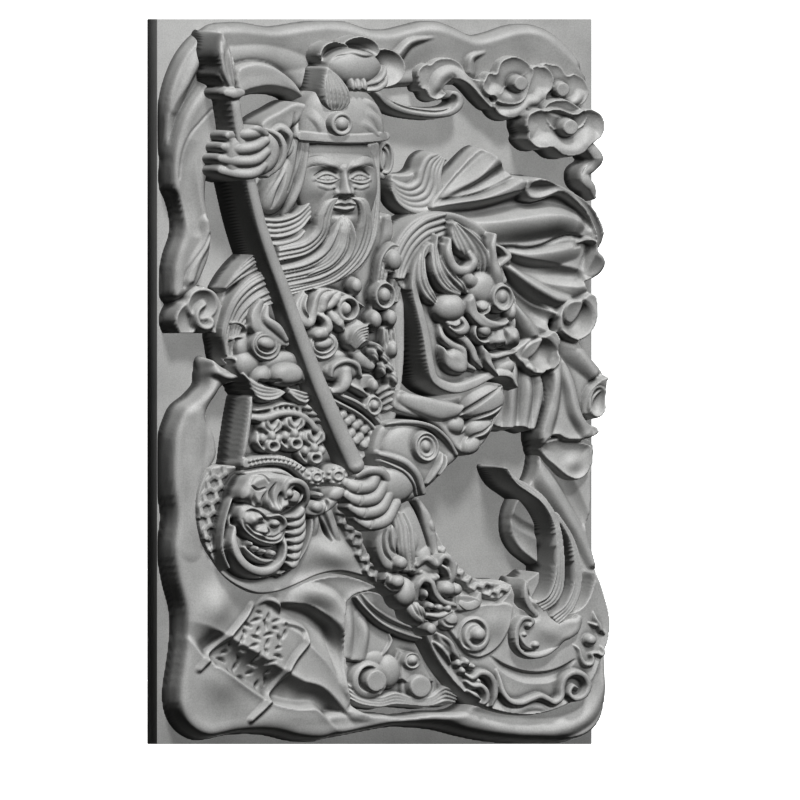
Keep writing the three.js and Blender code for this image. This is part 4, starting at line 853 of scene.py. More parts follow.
def lowerArm():
    cut = lowerArmCut
    c = Carving(cut)
    # the sleeve swells out under the guard: one full bulge, with three gathers at the elbow
    c.plate([(0, -6), (18, -10), (38, -13), (58, -10), (78, -3), (92, 0), (98, -3), (98.6, -15), (92, -32),
        (84, -47), (72, -59), (62, -62), (48, -52), (36, -38), (14, -30), (-6, -22)], cut["top"],
        edge=cut["edge"])
    c.ridge([(2, -14), (20, -19), (38, -24), (56, -24)], [5, 8, 8.6, 5], [45, 49, 50.4, 49], 0.6)
    c.dome((74, -38), (14, 11), 50, 9, turn=28)
    c.dome((67, -52), (11, 9), 48, 8, turn=40)
    c.dome((54, -36), (11, 9), 48, 8, turn=-20)
    c.dome((77, -18), (22, 16), 54.6, 14, turn=20, power=2.2)
    for line, half, deep in (([(95, -4), (84, -9), (72, -16), (60, -24), (52, -31)], [1, 1.6, 2.4, 2.6, 1],
            [1, 2.4, 3.4, 3.4, 1]), ([(92, -20), (83, -25), (74, -28), (64, -32), (58, -42)],
            [1, 1.8, 2.2, 2.2, 1], [0.6, 2, 3, 3.4, 1]), ([(84, -36), (76, -42), (68, -45), (62, -50)],
            [1, 1.8, 1.8, 1], [0.6, 2.6, 2.6, 0.6]), ([(96, -6), (96, -16), (90, -30), (82, -44)], 1.5,
            [0.6, 2, 2, 0.6])):
        c.groove(line, half, deep)
    # the bracer
    c.plate([(-18, -36), (-6, -33), (8, -32), (22, -34), (36, -41), (47, -50), (54, -62), (44, -72),
        (30, -84), (18, -96), (8, -98), (-6, -90), (-18, -76), (-26, -60), (-24, -46)], cut["bracer"], edge=9,
        deep=6)
    c.dome((10, -62), (30, 27), 56, 9, turn=-35, power=2.4)
    c.ridge([(-14, -35), (0, -33.5), (14, -34), (28, -38), (40, -47), (50, -60)], [2, 2.6, 2.8, 2.8, 2.6, 2],
        [52, 54, 56, 56, 55, 52])
    c.ridge([(-22, -60), (-10, -63), (2, -68), (12, -78), (18, -92)], [2.6, 3.4, 3.8, 3.8, 3],
        [55, 58, 59.5, 59, 56])
    c.ridge([(-20, -66), (-10, -70), (0, -75), (8, -84), (12, -94)], [1.2, 1.6, 1.8, 1.8, 1.4],
        [55, 57.5, 58.5, 58, 55])
    c.dome((18.5, -54), (11.5, 13), 59.5, 3.5, turn=15, power=3)
    c.ring((18.5, -54), (9.8, 11.2), 1.8, 61, turn=15)
    c.ring((18.5, -54), (6.6, 7.8), 1.4, 60.5, turn=15)
    c.dome((18.5, -54), (4.8, 5.8), 61.5, 4, turn=15)
    c.ridge([(36, -60), (33, -68), (27, -77), (22, -84)], [1.4, 2.6, 2.8, 1.6], [55, 58, 57, 55])
    c.ridge([(40, -62), (38, -70), (33, -77)], [1, 1.8, 1.2], [54, 56, 55])
    return c


lowerHandCut = {"low": (-58, -124), "high": (20, -62), "cell": 0.6, "gain": 0.2, "top": 54, "edge": 9,
    "deep": 8}


def lowerHand():
    cut = lowerHandCut
    c = Carving(cut)
    c.plate([(-46, -80), (-38, -74), (-26, -70), (-12, -69), (0, -72), (9, -79), (14, -88), (13, -97),
        (4, -101), (-6, -106), (-14, -114), (-26, -119), (-38, -113), (-46, -104), (-50, -92)], cut["top"],
        edge=cut["edge"], deep=cut["deep"])
    c.dome((-8, -86), (20, 15), 58.5, 7, turn=10)
    for line, crest in (([(-51, -84), (-42, -88), (-32, -87), (-24, -78)], [54, 59, 61, 58]), ([(-50, -94),
            (-40, -98.5), (-28, -97), (-17, -85)], [54, 59, 61.5, 58]), ([(-46, -104), (-36, -108.5),
            (-23, -106), (-12, -92)], [54, 59, 61, 58]), ([(-40, -113), (-30, -118), (-18, -115), (-7, -101)],
            [53, 58, 60.5, 58])):
        c.ridge(line, [5.4, 6.4, 6.6, 5.4], crest, 0.95)
        x, z = line[1]
        c.groove([(x - 1, z - 3), (x + 1, z + 3)], 1.6, 0.8)
    c.ridge([(-42, -78), (-32, -74), (-22, -75), (-14, -82)], [3.6, 4.6, 4.8, 3.6], [56, 59, 60, 58])
    return c


chestCut = {"low": (-150, -88), "high": (18, 142), "cell": 0.7, "top": 34, "edge": 4}


def chest():
    cut = chestCut
    c = Carving(cut)
    c.plate([(-136, 12), (-134, -12), (-141, -60), (-143, -80), (-120, -86), (-80, -86), (-40, -74),
        (-22, -62), (0, -40), (8, -14), (12, 20), (12, 60), (10, 90), (4, 112), (-2, 134), (-16, 138),
        (-24, 118), (-60, 92), (-100, 74), (-122, 62), (-132, 44)], cut["top"], edge=cut["edge"])
    # a strip of robe between the hair and the collar
    c.ridge([(-6, 136), (-6, 122), (-10, 108)], [4, 5, 4], [38, 38, 36], 0.5)
    # the beast's face on the breastplate: ears and brows
    c.ring((-144, 27), (9, 10), 2.2, 38)
    c.ring((-146, 34), (13, 15), 2.4, 37)
    c.dome((-137, 27), (10, 14), 40, 8)
    c.ridge([(-124, 66), (-129, 54), (-126, 44), (-114, 36), (-103, 31)], [4, 7, 8, 6, 3.4],
        [40, 43, 45, 46, 45], 0.6)
    c.ridge([(-119, 62), (-121, 52), (-112, 44), (-104, 35)], [2, 4, 5, 3], [42, 46, 48, 47], 0.8)
    c.ridge([(-86, 74), (-92, 62), (-88, 50), (-81, 49), (-77, 60), (-73, 71), (-64, 76)],
        [2, 5, 5.6, 5, 4.4, 4, 2], [42, 46, 48, 47, 46, 45, 42], 0.8)
    c.ridge([(-84, 72), (-88, 62), (-84, 54)], [1, 2, 1], [47, 49.5, 49])
    c.ridge([(-77, 55), (-70, 60), (-67, 68), (-57, 73)], [3, 4.6, 4.6, 2.4], [44, 47, 47, 43], 0.8)
    c.ridge([(-74, 60), (-64, 62), (-56, 68), (-52, 73)], [2, 4, 4.6, 2], [43, 46, 46, 43], 0.8)
    c.ridge([(-62, 58), (-57, 52), (-53, 48), (-50, 44)], [4, 5.4, 4.8, 3], [44, 46, 46, 44], 0.8)
    c.ridge([(-73, 56), (-67, 51), (-66, 44), (-71, 39)], [2.6, 4, 4.6, 5], [46, 49, 50, 50])
    c.dome((-73, 39), (8.6, 6.6), 51.5, 7)
    # eyes with double lids
    for x, z, turn in ((-121.5, 29, -14), (-69, 29.5, 8)):
        c.dome((x, z), (13.5, 12.5), 43, 6, turn=turn)
        c.ring((x, z + 0.5), (12.4, 10.8), 1.8, 45.5, turn=turn)
        c.ring((x, z + 1.5), (9.6, 7.6), 1.5, 46, turn=turn)
        c.dome((x, z + 2), (8.4, 5.8), 49, 5, turn=turn)
    c.ring((-46, 60), (8.4, 9), 2.2, 46)
    c.dome((-48.5, 60), (5.4, 6.6), 48, 5)
    # nose and cheeks
    c.domes((-134, 14, 14, 14, 43, 10), (-105, 14, 20, 12, 46, 8))
    c.dome((-103, 6), (17, 11), 52, 12, power=2.2)
    c.dome((-124, 5), (11, 8.5), 47, 8, turn=20)
    c.dome((-88, 8), (7, 10), 47, 8)
    c.groove([(-127, 0), (-118, -1.5), (-112, 0)], 2.4, 4)
    c.dome((-55, 14), (22, 13), 42, 7, turn=-10)
    # moustache in strands
    c.strands([(-141, 6), (-132, -2), (-120, -6), (-108, -7)], [(-136, -6), (-126, -14), (-114, -14),
        (-104, -9)], 4, [1, 2.2, 2.4, 1.4], [42, 45, 46, 45], 1)
    c.strands([(-101, -6), (-94, -8), (-87, -10), (-81, -10)], [(-100, -10), (-93, -15), (-86, -17),
        (-80, -15)], 3, [1.4, 2.2, 2.2, 1], [45, 46, 45, 42], 1)
    # mouth with teeth, and the lip below
    c.ridge([(-128, -24), (-116, -22), (-104, -19), (-90, -21), (-82, -28)], [1.4, 2, 2, 2, 1.4],
        [39, 41, 42, 41, 39])
    for k in range(6):
        c.dome((-114 + 5.2 * k, -24 + 0.5 * math.sin(k)), (2.3, 4.2), 41.5, 3, power=3)
    c.ridge([(-131, -30), (-122, -31), (-108, -27), (-94, -27), (-82, -32), (-74, -40), (-66, -43)],
        [3.4, 4.4, 3.6, 3.4, 3.6, 3.8, 2.6], [42, 45, 45, 45, 44, 44, 42], 0.8)
    for k in range(5):
        c.ridge([(-92 + 5 * k, -15 - 5.4 * k), (-86 + 5 * k, -17 - 5.2 * k), (-81 + 4.6 * k, -20 - 4.4 * k)],
            [2, 2.6, 1.6], [41, 43.5, 41])
    # small beast masks on the belly plates: flame brows, a broad nose and a round mouth
    for x, z, size in ((-116, -44, 1), (-95, -42, 1), (-77, -54, 0.95)):
        c.dome((x, z), (12.6 * size, 15 * size), 41, 6, power=2.4)
        c.plate([(x - 11, z + 6), (x - 8, z + 13), (x - 2, z + 14), (x + 1, z + 9), (x + 5, z + 14),
            (x + 10, z + 12), (x + 11, z + 5), (x + 6, z + 1), (x, z - 1), (x - 6, z + 1)], 45, edge=5,
            deep=4)
        c.groove([(x - 6, z + 11), (x - 4.6, z + 6), (x - 1.4, z + 3)], 1.5, [0.6, 2.4, 1])
        c.groove([(x + 7, z + 10), (x + 5.6, z + 6), (x + 2.6, z + 3)], 1.5, [0.6, 2.4, 1])
        c.dome((x - 6.4, z - 3.4), (4.6, 5), 44, 4, turn=30)
        c.dome((x + 7, z - 3.4), (4.4, 5), 44, 4, turn=-30)
        c.dome((x + 0.4, z - 1.6), (4, 5), 46.6, 4)
        c.ring((x + 1, z - 9.6), (4.8 * size, 4 * size), 2.2, 46)
        c.dome((x + 1, z - 9.6), (2.4, 2), 41, 1, over=True)
        c.ridge([(x - 11, z + 1), (x - 12.4, z - 6), (x - 8, z - 12), (x - 3, z - 15)], [1, 2, 2, 1],
            [40, 42.6, 43, 41])
    # rims of the plate
    c.ridge([(-133, -14), (-136, -32), (-139, -50), (-142, -70)], [2.4, 3, 3, 2.6], [40, 42, 42, 40])
    # a patterned belt
    c.ridge([(-140, -68), (-126, -66), (-112, -65), (-98, -68), (-88, -74), (-80, -82)], 4.8, 44, 0.5,
        power=3)
    for k in range(15):
        x = -137 + 3.9 * k
        z = -67.5 + 2.6 * math.sin(0.32 * k) - 0.045 * max(k - 8, 0)**2 * 3.4
        c.domes((x, z + 1.6, 1.8, 1.7, 46, 2), (x + 1.9, z - 1.8, 1.8, 1.7, 46, 2))
    c.ridge([(-140, -76), (-122, -74), (-106, -75), (-92, -82)], [2, 3, 3, 2], [42, 44, 44, 42], 0.8)
    # the tube that comes out of the beast's cheek
    c.dome((-50, 10), (17, 11), 46, 7)
    c.ridge([(-62, 4), (-60, 12), (-50, 16.5), (-38, 13), (-34, 4)], [2, 2.6, 2.8, 2.8, 2],
        [45, 47, 48, 47, 45])
    c.ridge([(-48, 8), (-49, 0), (-53, -6), (-60, -9)], [6.4, 6, 5, 2.4], [48, 49, 48, 45])
    # beads and rings hung across the chest
    for k in range(3):
        c.ridge([(-22 + 3 * k, 58), (-17 + 3.4 * k, 84), (-13 + 4 * k, 104), (-3, 113 - 2.6 * k),
            (7 - 3 * k, 104), (4 - 3 * k, 84), (1 - 3 * k, 66)], [1.8, 2.2, 2.2, 2.2, 2.2, 2.2, 1.8],
            [40, 42, 43, 43.5, 43, 42, 40])
    for x, z, rx, rz, top in ((-4, 100, 7.6, 9.4, 49), (-38, 79, 6, 7.6, 46), (-21, 51, 6.6, 8.4, 48),
            (-7, 52.5, 6, 8, 48), (-5, 26, 5.4, 8, 46), (-22, -4, 5, 6.8, 46)):
        c.domes((x, z, rx, rz, top, 7), (x, z - rz * 0.86, rx * 0.7, rz * 0.3, top - 4, 2))
    for x, z, rx, rz, top in ((-13, 71, 10.4, 12, 47), (-22, -20, 8, 9, 45)):
        c.dome((x, z), (rx, rz), top - 3, 4)
        c.ring((x, z), (rx - 1.8, rz - 1.8), 1.9, top)
        c.dome((x, z), (rx * 0.58, rz * 0.58), top + 2, 5)
    c.dome((-37, 38), (12.6, 14), 47, 9)
    for k in range(6):
        bend = 1.5 * (k - 2.5)
        c.ridge([(-46 + 1.1 * k, 30.5 - k), (-38 + bend, 37.5 - bend * 1.1), (-27 - 0.6 * k, 47 - 2.6 * k)],
            [0.7, 1.7, 0.7], [46, 50, 47], 1.1)
    c.ridge([(-38, 24), (-32, 17), (-24, 13), (-20, 15)], [5, 6, 5, 3], [44, 45, 44, 42], 0.8)
    for k in range(4):
        c.ridge([(-12 + 3.1 * k, 44), (-11 + 3.2 * k, 28), (-9 + 2.6 * k, 10), (-6 + 1.6 * k, -6)], 1.7,
            [42, 43, 43, 40], 1)
    for x, z, turn in ((-17, 27, -50), (-12, 19, -55), (-21, 21, -70), (-8, 12, -60), (-14, 10, -80),
            (-4, 3, -70)):
        c.dome((x, z), (7, 3.4), 46.5, 5, turn=turn)
        c.groove([(x - 3, z + 2.6), (x + 3, z - 2.6)], 0.9, 1)
    # the apron's rim and the diagonal straps
    c.plate([(-46, 2), (-34, 6), (-22, 6), (-18, 0), (-26, -6), (-40, -7)], 41, edge=2)
    c.ridge([(-62, -6), (-50, -12), (-36, -18), (-22, -28), (-10, -40)], 2.6, [43, 44, 44, 43, 41])
    c.ridge([(-46, 0), (-36, -6), (-26, -12)], 2.4, [42, 44, 43])
    c.ridge([(-60, -14), (-48, -20), (-34, -27), (-20, -38), (-12, -50)], 2.2, [41, 42, 42, 41, 39])
    for row in range(4):
        for k in range(5):
            x = -54 + 7.5 * k + 3.7 * (row % 2)
            z = -24 - 6 * row - 3.4 * k
            if x < -14:
                c.dome((x, z), (4.4, 4.4), 39.5, 3.4, power=2.4)
    for k in range(4):
        c.ridge([(-16 + 2.4 * k, -10 - 4.5 * k), (-10 + 2.4 * k, -6 - 4.8 * k), (-4 + 2.2 * k, -4 - 5 * k)],
            [2, 2.4, 2], [40, 42, 40])
    # the collar strap under the beard
    c.ridge([(-76, 77), (-60, 75), (-44, 70), (-30, 62)], [1.6, 2.2, 2.4, 1.6], [41, 42, 43, 41])
    # knots at the waist, with fine fretwork
    for x, z, rx, rz, top in ((-77, -79, 11, 9, 49), (-58, -78, 12, 10, 50)):
        c.dome((x, z), (rx, rz), top, 8)
        for k in range(9):
            angle = math.radians(40 * k)
            c.dome((x + rx * 0.66 * math.cos(angle), z + rz * 0.66 * math.sin(angle)), (1.8, 1.7), top - 0.8,
                2)
        c.ring((x, z), (rx * 0.36, rz * 0.36), 1.2, top + 0.8)
    return c


armourForks = {
    "reach": 60,        # millimetres round the outline's middle that the plates may cover
    "rim": 0.6,         # how far inside the outline the arms keep, in half widths
    "arm": 0.94,        # an arm's length, in sizes of the honeycomb
    "shortest": 0.15,   # arms cut off to less than this share are left out
}


def scaleArmour(c, outline, size, turn, half, crest):
    # forked plates that lock into each other: a honeycomb's edges, cut off at an outline
    line = smoothLine(outline, True)[0]
    middle, reach = line.mean(axis=0), int(armourForks["reach"] / size)
    across, up = size * math.sqrt(3), size * 1.5
    angle, rim = math.radians(turn), half * armourForks["rim"]
    nodes = [((i + 0.5 * (j % 2)) * across, j * up)
             for j in range(-reach, reach) for i in range(-reach, reach)]
    nodes = np.array([(middle[0] + x * math.cos(angle) - z * math.sin(angle),
        middle[1] + x * math.sin(angle) + z * math.cos(angle)) for x, z in nodes])
    depth = insideBy(line, nodes[:, 0], nodes[:, 1])
    nodes, depth = nodes[depth > rim], depth[depth > rim]
    for lean in (90, 210, 330):
        a = angle + math.radians(lean)
        arm = size * armourForks["arm"] * np.array([math.cos(a), math.sin(a)])
        past = insideBy(line, nodes[:, 0] + arm[0], nodes[:, 1] + arm[1]) - rim
        share = np.where(past < 0, (depth - rim) / (depth - past), 1)
        for node, part in zip(nodes, share):
            if part > armourForks["shortest"]:
                tip = node + arm * part
                c.ridge([node, (node + tip) / 2, tip], [half * 1.1, half, half * 0.9],
                    [crest + 0.5, crest, crest - 0.5], 0.5, power=3)


kneeCut = {"low": (-184, -184), "high": (-2, -66), "cell": 0.62, "top": 32.6, "edge": 2.6, "deep": 4.4,
    "skirt": 33, "strip": 34.6, "muzzle": 56, "skull": 59.4}


def knee():
    cut = kneeCut
    c = Carving(cut)
    # the robe under the knee
    c.plate([(-166, -70), (-149, -69), (-100, -70), (-60, -90), (-46, -104), (-28, -130), (-10, -160),
        (-4, -170), (-22, -163.5), (-48, -158.5), (-66, -161), (-84, -168), (-104, -175), (-124, -176.5),
        (-142, -170), (-156, -160), (-166, -146), (-176, -128), (-180, -108), (-178, -90)], cut["top"],
        edge=cut["edge"], deep=cut["deep"], power=1.6)
    c.bump((-54, -144), (18, 11), 6, -20)
    c.bump((-110, -158), (40, 9), -3)
    # the armoured skirt at the left
    skirt = [(-168, -72), (-152, -70), (-151, -88), (-155, -108), (-158, -130), (-160, -150), (-166, -146),
        (-176, -128), (-180, -106), (-178, -88)]
    c.plate(skirt, cut["skirt"], edge=3, deep=3)
    scaleArmour(c, skirt, 6.4, 12, 2.5, cut["skirt"] + 1.8)
    for k in range(3):
        c.ridge([(-146 - 2.9 * k, -88), (-151.5 - 2.9 * k, -108), (-153.6 - 2.8 * k, -130),
            (-153 - 2.2 * k, -154)], 1.5, [36, 37, 36.4, 34])
    # the armoured strip that runs down from the hand, and the pleats beside it
    strip = [(-52, -100), (-42, -104), (-34, -118), (-24, -138), (-12, -160), (-8, -170), (-20, -166),
        (-30, -152), (-42, -130), (-52, -112)]
    c.plate(strip, cut["strip"], edge=3, deep=2.4)
    scaleArmour(c, strip, 4.9, -32, 2.1, cut["strip"] + 2.2)
    for line, half, crest in (([(-74, -98), (-78, -120), (-86, -146)], 2.6, 35), ([(-68, -100), (-70, -122),
            (-77, -142)], 2.2, 34), ([(-62, -98), (-56, -116), (-46, -140)], 3.6, 36)):
        c.ridge(line, [half * 0.8, half, half * 0.6], [crest, crest, crest - 3], 0.5, power=3)
    c.groove([(-66, -112), (-61, -124), (-56, -132)], [1.5, 3, 1.5], [2, 5, 2])
    # the beast's head on the knee: skull, mane and jaws
    c.plate([(-150, -88), (-138, -78), (-122, -73), (-104, -75), (-90, -84), (-83, -98), (-81, -114),
        (-83, -132), (-90, -148), (-104, -158), (-120, -163), (-134, -162), (-146, -152), (-152, -136),
        (-148, -118), (-152, -102)], 42, edge=8, deep=6)
    for line in ([(-150, -92), (-156, -104), (-161, -122), (-161, -140), (-156, -154)], [(-149, -96),
            (-151, -106), (-155, -114), (-153, -124)]):
        c.ridge(line, 1.8, 45, 1)
    # mane: bands that sweep from behind the ear round to the mouth, inside two thin borders
    for k in range(7):
        shift = max(0, k - 3) * 1.9
        c.ridge([(-86.6 - shift, -98 - 6.5 * k), (-92 - shift, -107.4 - 6.9 * k),
            (-98.6 - 0.6 * shift, -112 - 6.7 * k), (-106, -112.6 - 6.2 * k)], [1.6, 3.7, 3.8, 1.8],
            [47, 53, 55.4, 52], 0.85, power=1.8)
    for k in range(2):
        c.ridge([(-81 + 2.6 * k, -100), (-80 + 3 * k, -118), (-85 + 3 * k, -136), (-96 + 3.4 * k, -152),
            (-108 + 3 * k, -160 - k)], [0.8, 1.5, 1.5, 1.5, 0.8], [42, 45.4 - 4 * k, 46 - 4 * k, 46 - 4 * k,
            43 - 3 * k])
    # jaw ring round the open mouth
    c.ridge([(-153, -121), (-155.6, -132), (-152, -145), (-144, -153.4), (-132, -157.6), (-121, -155.6),
        (-112.6, -148), (-108.6, -138), (-109, -128)], [2.4, 4, 4.6, 4.8, 4.8, 4.4, 4, 3.4, 2], [50, 54, 56.4,
        57.4, 57.6, 57, 56, 54.6, 53], 0.95)
    c.plate([(-148, -128), (-134, -136), (-120, -138), (-111, -134), (-112, -144), (-119, -150), (-131, -152),
        (-143, -146)], 44, edge=2, over=True)
    c.ridge([(-143, -137), (-137, -144.6), (-127, -149), (-117, -147.6)], [1, 2.2, 2.4, 1], [48, 53, 54, 51])
    c.domes((-139.6, -134.6, 2.2, 3, 54, 4), (-134.2, -138.4, 2.8, 3, 54, 4), (-119.6, -142.4, 4, 3.4, 54, 4),
        (-127.4, -140.8, 2.8, 2.6, 54, 4))
    # muzzle with two lip lines, a snout, nostrils and the second eye
    c.plate([(-151, -104), (-152.6, -114), (-149.4, -122), (-141.6, -129), (-131, -134.4), (-119, -136.2),
        (-110.4, -133), (-106.6, -125), (-107.4, -116), (-112, -108), (-124, -103), (-140, -100)],
        cut["muzzle"], edge=7, deep=7)
    c.groove([(-148.6, -114), (-146, -120.6), (-139, -126.6), (-129.6, -131), (-119, -132.6), (-112.4, -130),
        (-109.6, -124)], 1.2, [0.6, 1.8, 1.9, 1.9, 1.9, 1.8, 0.6])
    c.groove([(-146, -117.6), (-138, -123.4), (-129, -127.4), (-119.6, -128.8), (-114, -126)], 1.2,
        [0.6, 1.7, 1.8, 1.8, 0.6])
    c.bump((-140.4, -114.6), (5.4, 6), 5.4)
    c.bump((-130, -124.4), (4.6, 3.4), 5, 20)
    c.bump((-133, -112), (3.4, 3), 3)
    c.groove([(-127.4, -127.4), (-124.4, -125), (-125.4, -121.6)], 1.5, [1, 3.6, 1])
    c.groove([(-145, -108), (-139, -106.6), (-133, -108.6), (-127.6, -113), (-124, -116)], 1.7,
        [1, 3.4, 2.6, 3, 1])
    c.groove([(-136, -119), (-132.6, -117.4), (-128.4, -118)], 1.5, [0.6, 2.6, 0.6])
    c.dome((-119.6, -117.6), (4.8, 3.6), 60.4, 4)
    c.ridge([(-124.6, -112), (-117.6, -111.4), (-112, -114), (-110.4, -119), (-113, -123.4)],
        [1, 1.8, 2, 1.8, 1], [58, 60, 60, 59, 57], 0.95)
    # the upper head: a smooth skull whose wavy lower edge ends in the nose
    c.plate([(-148, -84), (-144, -79), (-136, -75.5), (-124.5, -74), (-113, -76), (-101, -78.6), (-92, -86),
        (-91, -95), (-94, -100.4), (-99.6, -104), (-107, -104.4), (-111, -109), (-118.4, -113.4),
        (-124.6, -109), (-130.4, -105.6), (-138, -106), (-144, -101.4), (-151, -98.4), (-152, -91)],
        cut["skull"], edge=9, deep=10, power=1.9)
    c.dome((-134.8, -83.6), (6.6, 4.4), 57.6, 4, turn=6)
    c.groove([(-143, -84), (-138, -78.4), (-130.6, -78), (-126.4, -83)], 1.5, [0.8, 2.6, 2.6, 0.8])
    c.groove([(-142, -86.6), (-136, -89.8), (-129.4, -88.4)], 1.4, [0.8, 2.4, 0.8])
    for line, deep in (([(-128, -91), (-131, -98), (-128.6, -105)], 2.6), ([(-119.6, -84), (-124.4, -93),
            (-121.6, -103)], 3.2), ([(-111, -88), (-115.6, -96), (-116, -106)], 2.6), ([(-139.6, -93),
            (-138.6, -99), (-135, -104)], 2), ([(-107.6, -99), (-104.4, -102), (-98.6, -101)], 2.2)):
        c.groove(line, [1.2, 2.8, 1.4], [0.4, deep, 0.6])
    c.bump((-118.6, -107), (4.6, 4.6), 3.4)
    c.bump((-109.6, -103), (4, 3), 2.4)
    # the ear, a tight scroll
    c.ridge([(-89.6, -106), (-89, -95), (-93, -86.6), (-100, -82.6), (-107.4, -83.6), (-111.6, -89.4),
        (-110.6, -95.6)], [1.4, 3, 3.4, 3.4, 3.2, 3, 2.4], [51, 57, 60.4, 61.6, 62, 62, 61], 0.95)
    c.groove([(-97, -100), (-95.6, -92), (-100.6, -88.4), (-104.4, -90.6)], [1.6, 2.6, 2.4, 1.4],
        [2, 7, 6, 2])
    c.dome((-108, -92.8), (4.6, 4.4), 62.6, 5)
    # knotted belt end that hangs over the knee
    c.ridge([(-88, -106), (-80, -107), (-70, -103), (-60, -95), (-54, -90)], [4, 5.6, 5.8, 5.2, 3.4],
        [48, 51.6, 52.6, 52.6, 50], 0.8)
    c.dome((-61, -93), (8.6, 6.6), 55, 6, turn=30)
    c.dome((-78, -104), (7, 6), 54, 6)
    c.groove([(-72, -96), (-69, -102), (-71, -109)], 1.8, [1, 3, 1])
    c.dome((-74, -94), (4, 3), 50, 3)
    return c


thighCut = {"low": (-24, -202), "high": (118, -88), "cell": 0.72, "top": 30, "edge": 4, "band": 34}


def thigh():
    cut = thighCut
    c = Carving(cut)
    c.plate([(-6, -96), (10, -94), (24, -96), (34, -112), (44, -130), (58, -146), (72, -158), (86, -163),
        (108, -165), (112, -174), (108, -184), (84, -190), (56, -196), (28, -192), (4, -176), (-10, -150),
        (-18, -118)], cut["top"], edge=cut["edge"])
    # the leg's muscles under the hand
    c.ridge([(5, -98), (9, -110), (15, -124), (22, -140), (26, -152)], [6, 9, 9.6, 9, 6],
        [42, 45, 46, 45, 42], 0.8)
    c.ridge([(20, -98), (27, -112), (31, -126), (36, -142)], [3, 5.4, 6, 4], [40, 42.6, 43, 41])
    for x, z, rx, rz, top, turn in ((14, -130, 8, 12, 46.6, 15), (24, -142, 8, 9, 46, 20),
            (31, -120, 4.6, 9, 43.6, 15)):
        c.dome((x, z), (rx, rz), top, 6, turn=turn)
    c.groove([(18, -100), (22, -114), (27, -130), (32, -146)], 1.8, [1, 3, 3, 1])
    # forked plates round the thigh
    band = [(40, -122), (49.3, -138), (62.1, -153), (76.9, -163), (98.9, -166.5), (109, -168), (99, -180),
        (82, -178), (66, -170), (50, -156), (40, -140)]
    c.plate(band, cut["band"], edge=2.4, deep=2)
    scaleArmour(c, band, 4.9, -48, 2.1, cut["band"] + 2.4)
    return c


dragonCut = {"low": (-30, -216), "high": (84, -100), "cell": 0.62, "top": 40, "edge": 4, "jaw": 54}


def dragon():
    cut = dragonCut
    c = Carving(cut)
    # the mane that falls from the hand, and its two great curls
    c.strands([(-7, -106), (-2, -120), (0, -136), (6, -156)], [(5, -108), (10, -122), (11, -138), (14, -156)],
        5, [1.6, 2.9, 3.1, 2.2], [44, 48, 49, 47], 0.8, wave=1)
    c.plate([(-12, -116), (-4, -112), (10, -110), (16, -130), (18, -150), (28, -160), (56, -166), (58, -178),
        (50, -192), (34, -208), (24, -208), (14, -198), (2, -186), (-12, -172), (-14, -158), (-22, -146),
        (-22, -128)], cut["top"], edge=cut["edge"])
    c.plate([(-19, -117), (-9, -117), (-2, -128), (-3, -141), (3, -147), (3, -155), (-5, -159.4), (-16, -157),
        (-23, -146), (-25, -131)], cut["jaw"], edge=8, deep=8)
    c.groove([(-15, -118), (-18, -130), (-16, -142), (-9, -150)], [1, 1.8, 2.2, 1.2], [1, 3, 3.4, 1])
    c.groove([(-10, -118), (-12, -130), (-10, -139), (-5, -143)], [1, 1.8, 2, 1], [1, 2.8, 3, 1])
    c.dome((-3.4, -150.4), (7, 6.6), 59, 7)
    c.plate([(-15, -158), (-8, -158), (2, -160), (4, -167), (1, -174), (-7, -176), (-14, -171), (-17, -164)],
        53, edge=6, deep=6)
    c.dome((-5.4, -166), (6.6, 6), 57.6, 6)
    c.groove([(-13, -160), (-14, -167), (-9, -173)], [1, 2, 1], [1, 3.4, 1])
    c.dome((5.4, -175), (11.6, 14), 53.6, 12, turn=10)
    c.dome((15.4, -191), (9, 12), 52.6, 10, turn=35)
    for k in range(3):
        c.groove([(10 + 3.6 * k, -183 - k), (13 + 3.4 * k, -191 - k), (20 + 2 * k, -198)], [0.8, 1.5, 0.8],
            [0.8, 2.4, 0.8])
    # the head: brow, nostril, jaws and teeth
    c.dome((26, -154), (16, 12), 50, 9)
    c.ridge([(16, -152), (23, -147), (32, -151), (37, -145), (43, -147), (47, -157), (45, -167)],
        [2.6, 4, 4, 3.8, 4, 4.6, 4], [50, 53, 54, 54.5, 54, 53, 51])
    c.ridge([(36, -152), (40, -155), (43, -162)], [1.6, 2.4, 1.8], [53, 54, 52])
    c.ridge([(20, -158), (27, -163), (33, -162)], [3, 4, 3.4], [50, 52, 51])
    c.domes((28, -163, 5, 4, 54, 4), (42, -172, 9, 7.6, 54, 8), (51, -172, 6.4, 6, 51, 6))
    c.ridge([(14, -180), (14, -170), (19, -164), (26, -166), (31, -176), (38, -182), (50, -185)],
        [3, 3.6, 3.6, 3.4, 3.4, 3.4, 2.4], [50, 53, 54, 54, 53, 52, 49])
    c.plate([(19, -172), (24, -171), (28, -180), (24, -186), (18, -184)], 43, edge=2, over=True)
    c.domes((23, -176, 3, 4.6, 51, 5), (28, -186, 4.4, 4, 51, 5), (36, -187, 4.6, 4.4, 51, 5),
        (43, -187.5, 4, 4, 51, 5))
    c.ridge([(26, -193), (36, -194), (47, -190)], [2.4, 3, 2.2], [48, 50, 48])
    c.dome((28, -205), (5.6, 6), 51, 6)
    c.ridge([(54, -181), (64, -186), (73, -183), (76, -176)], [3, 5, 5, 3], [43, 43.5, 43, 42], 0.4)
    return c


bladeCut = {"low": (10, -282), "high": (202, -148), "cell": 0.73, "top": 38, "edge": 1.6, "cheek": 40.5}


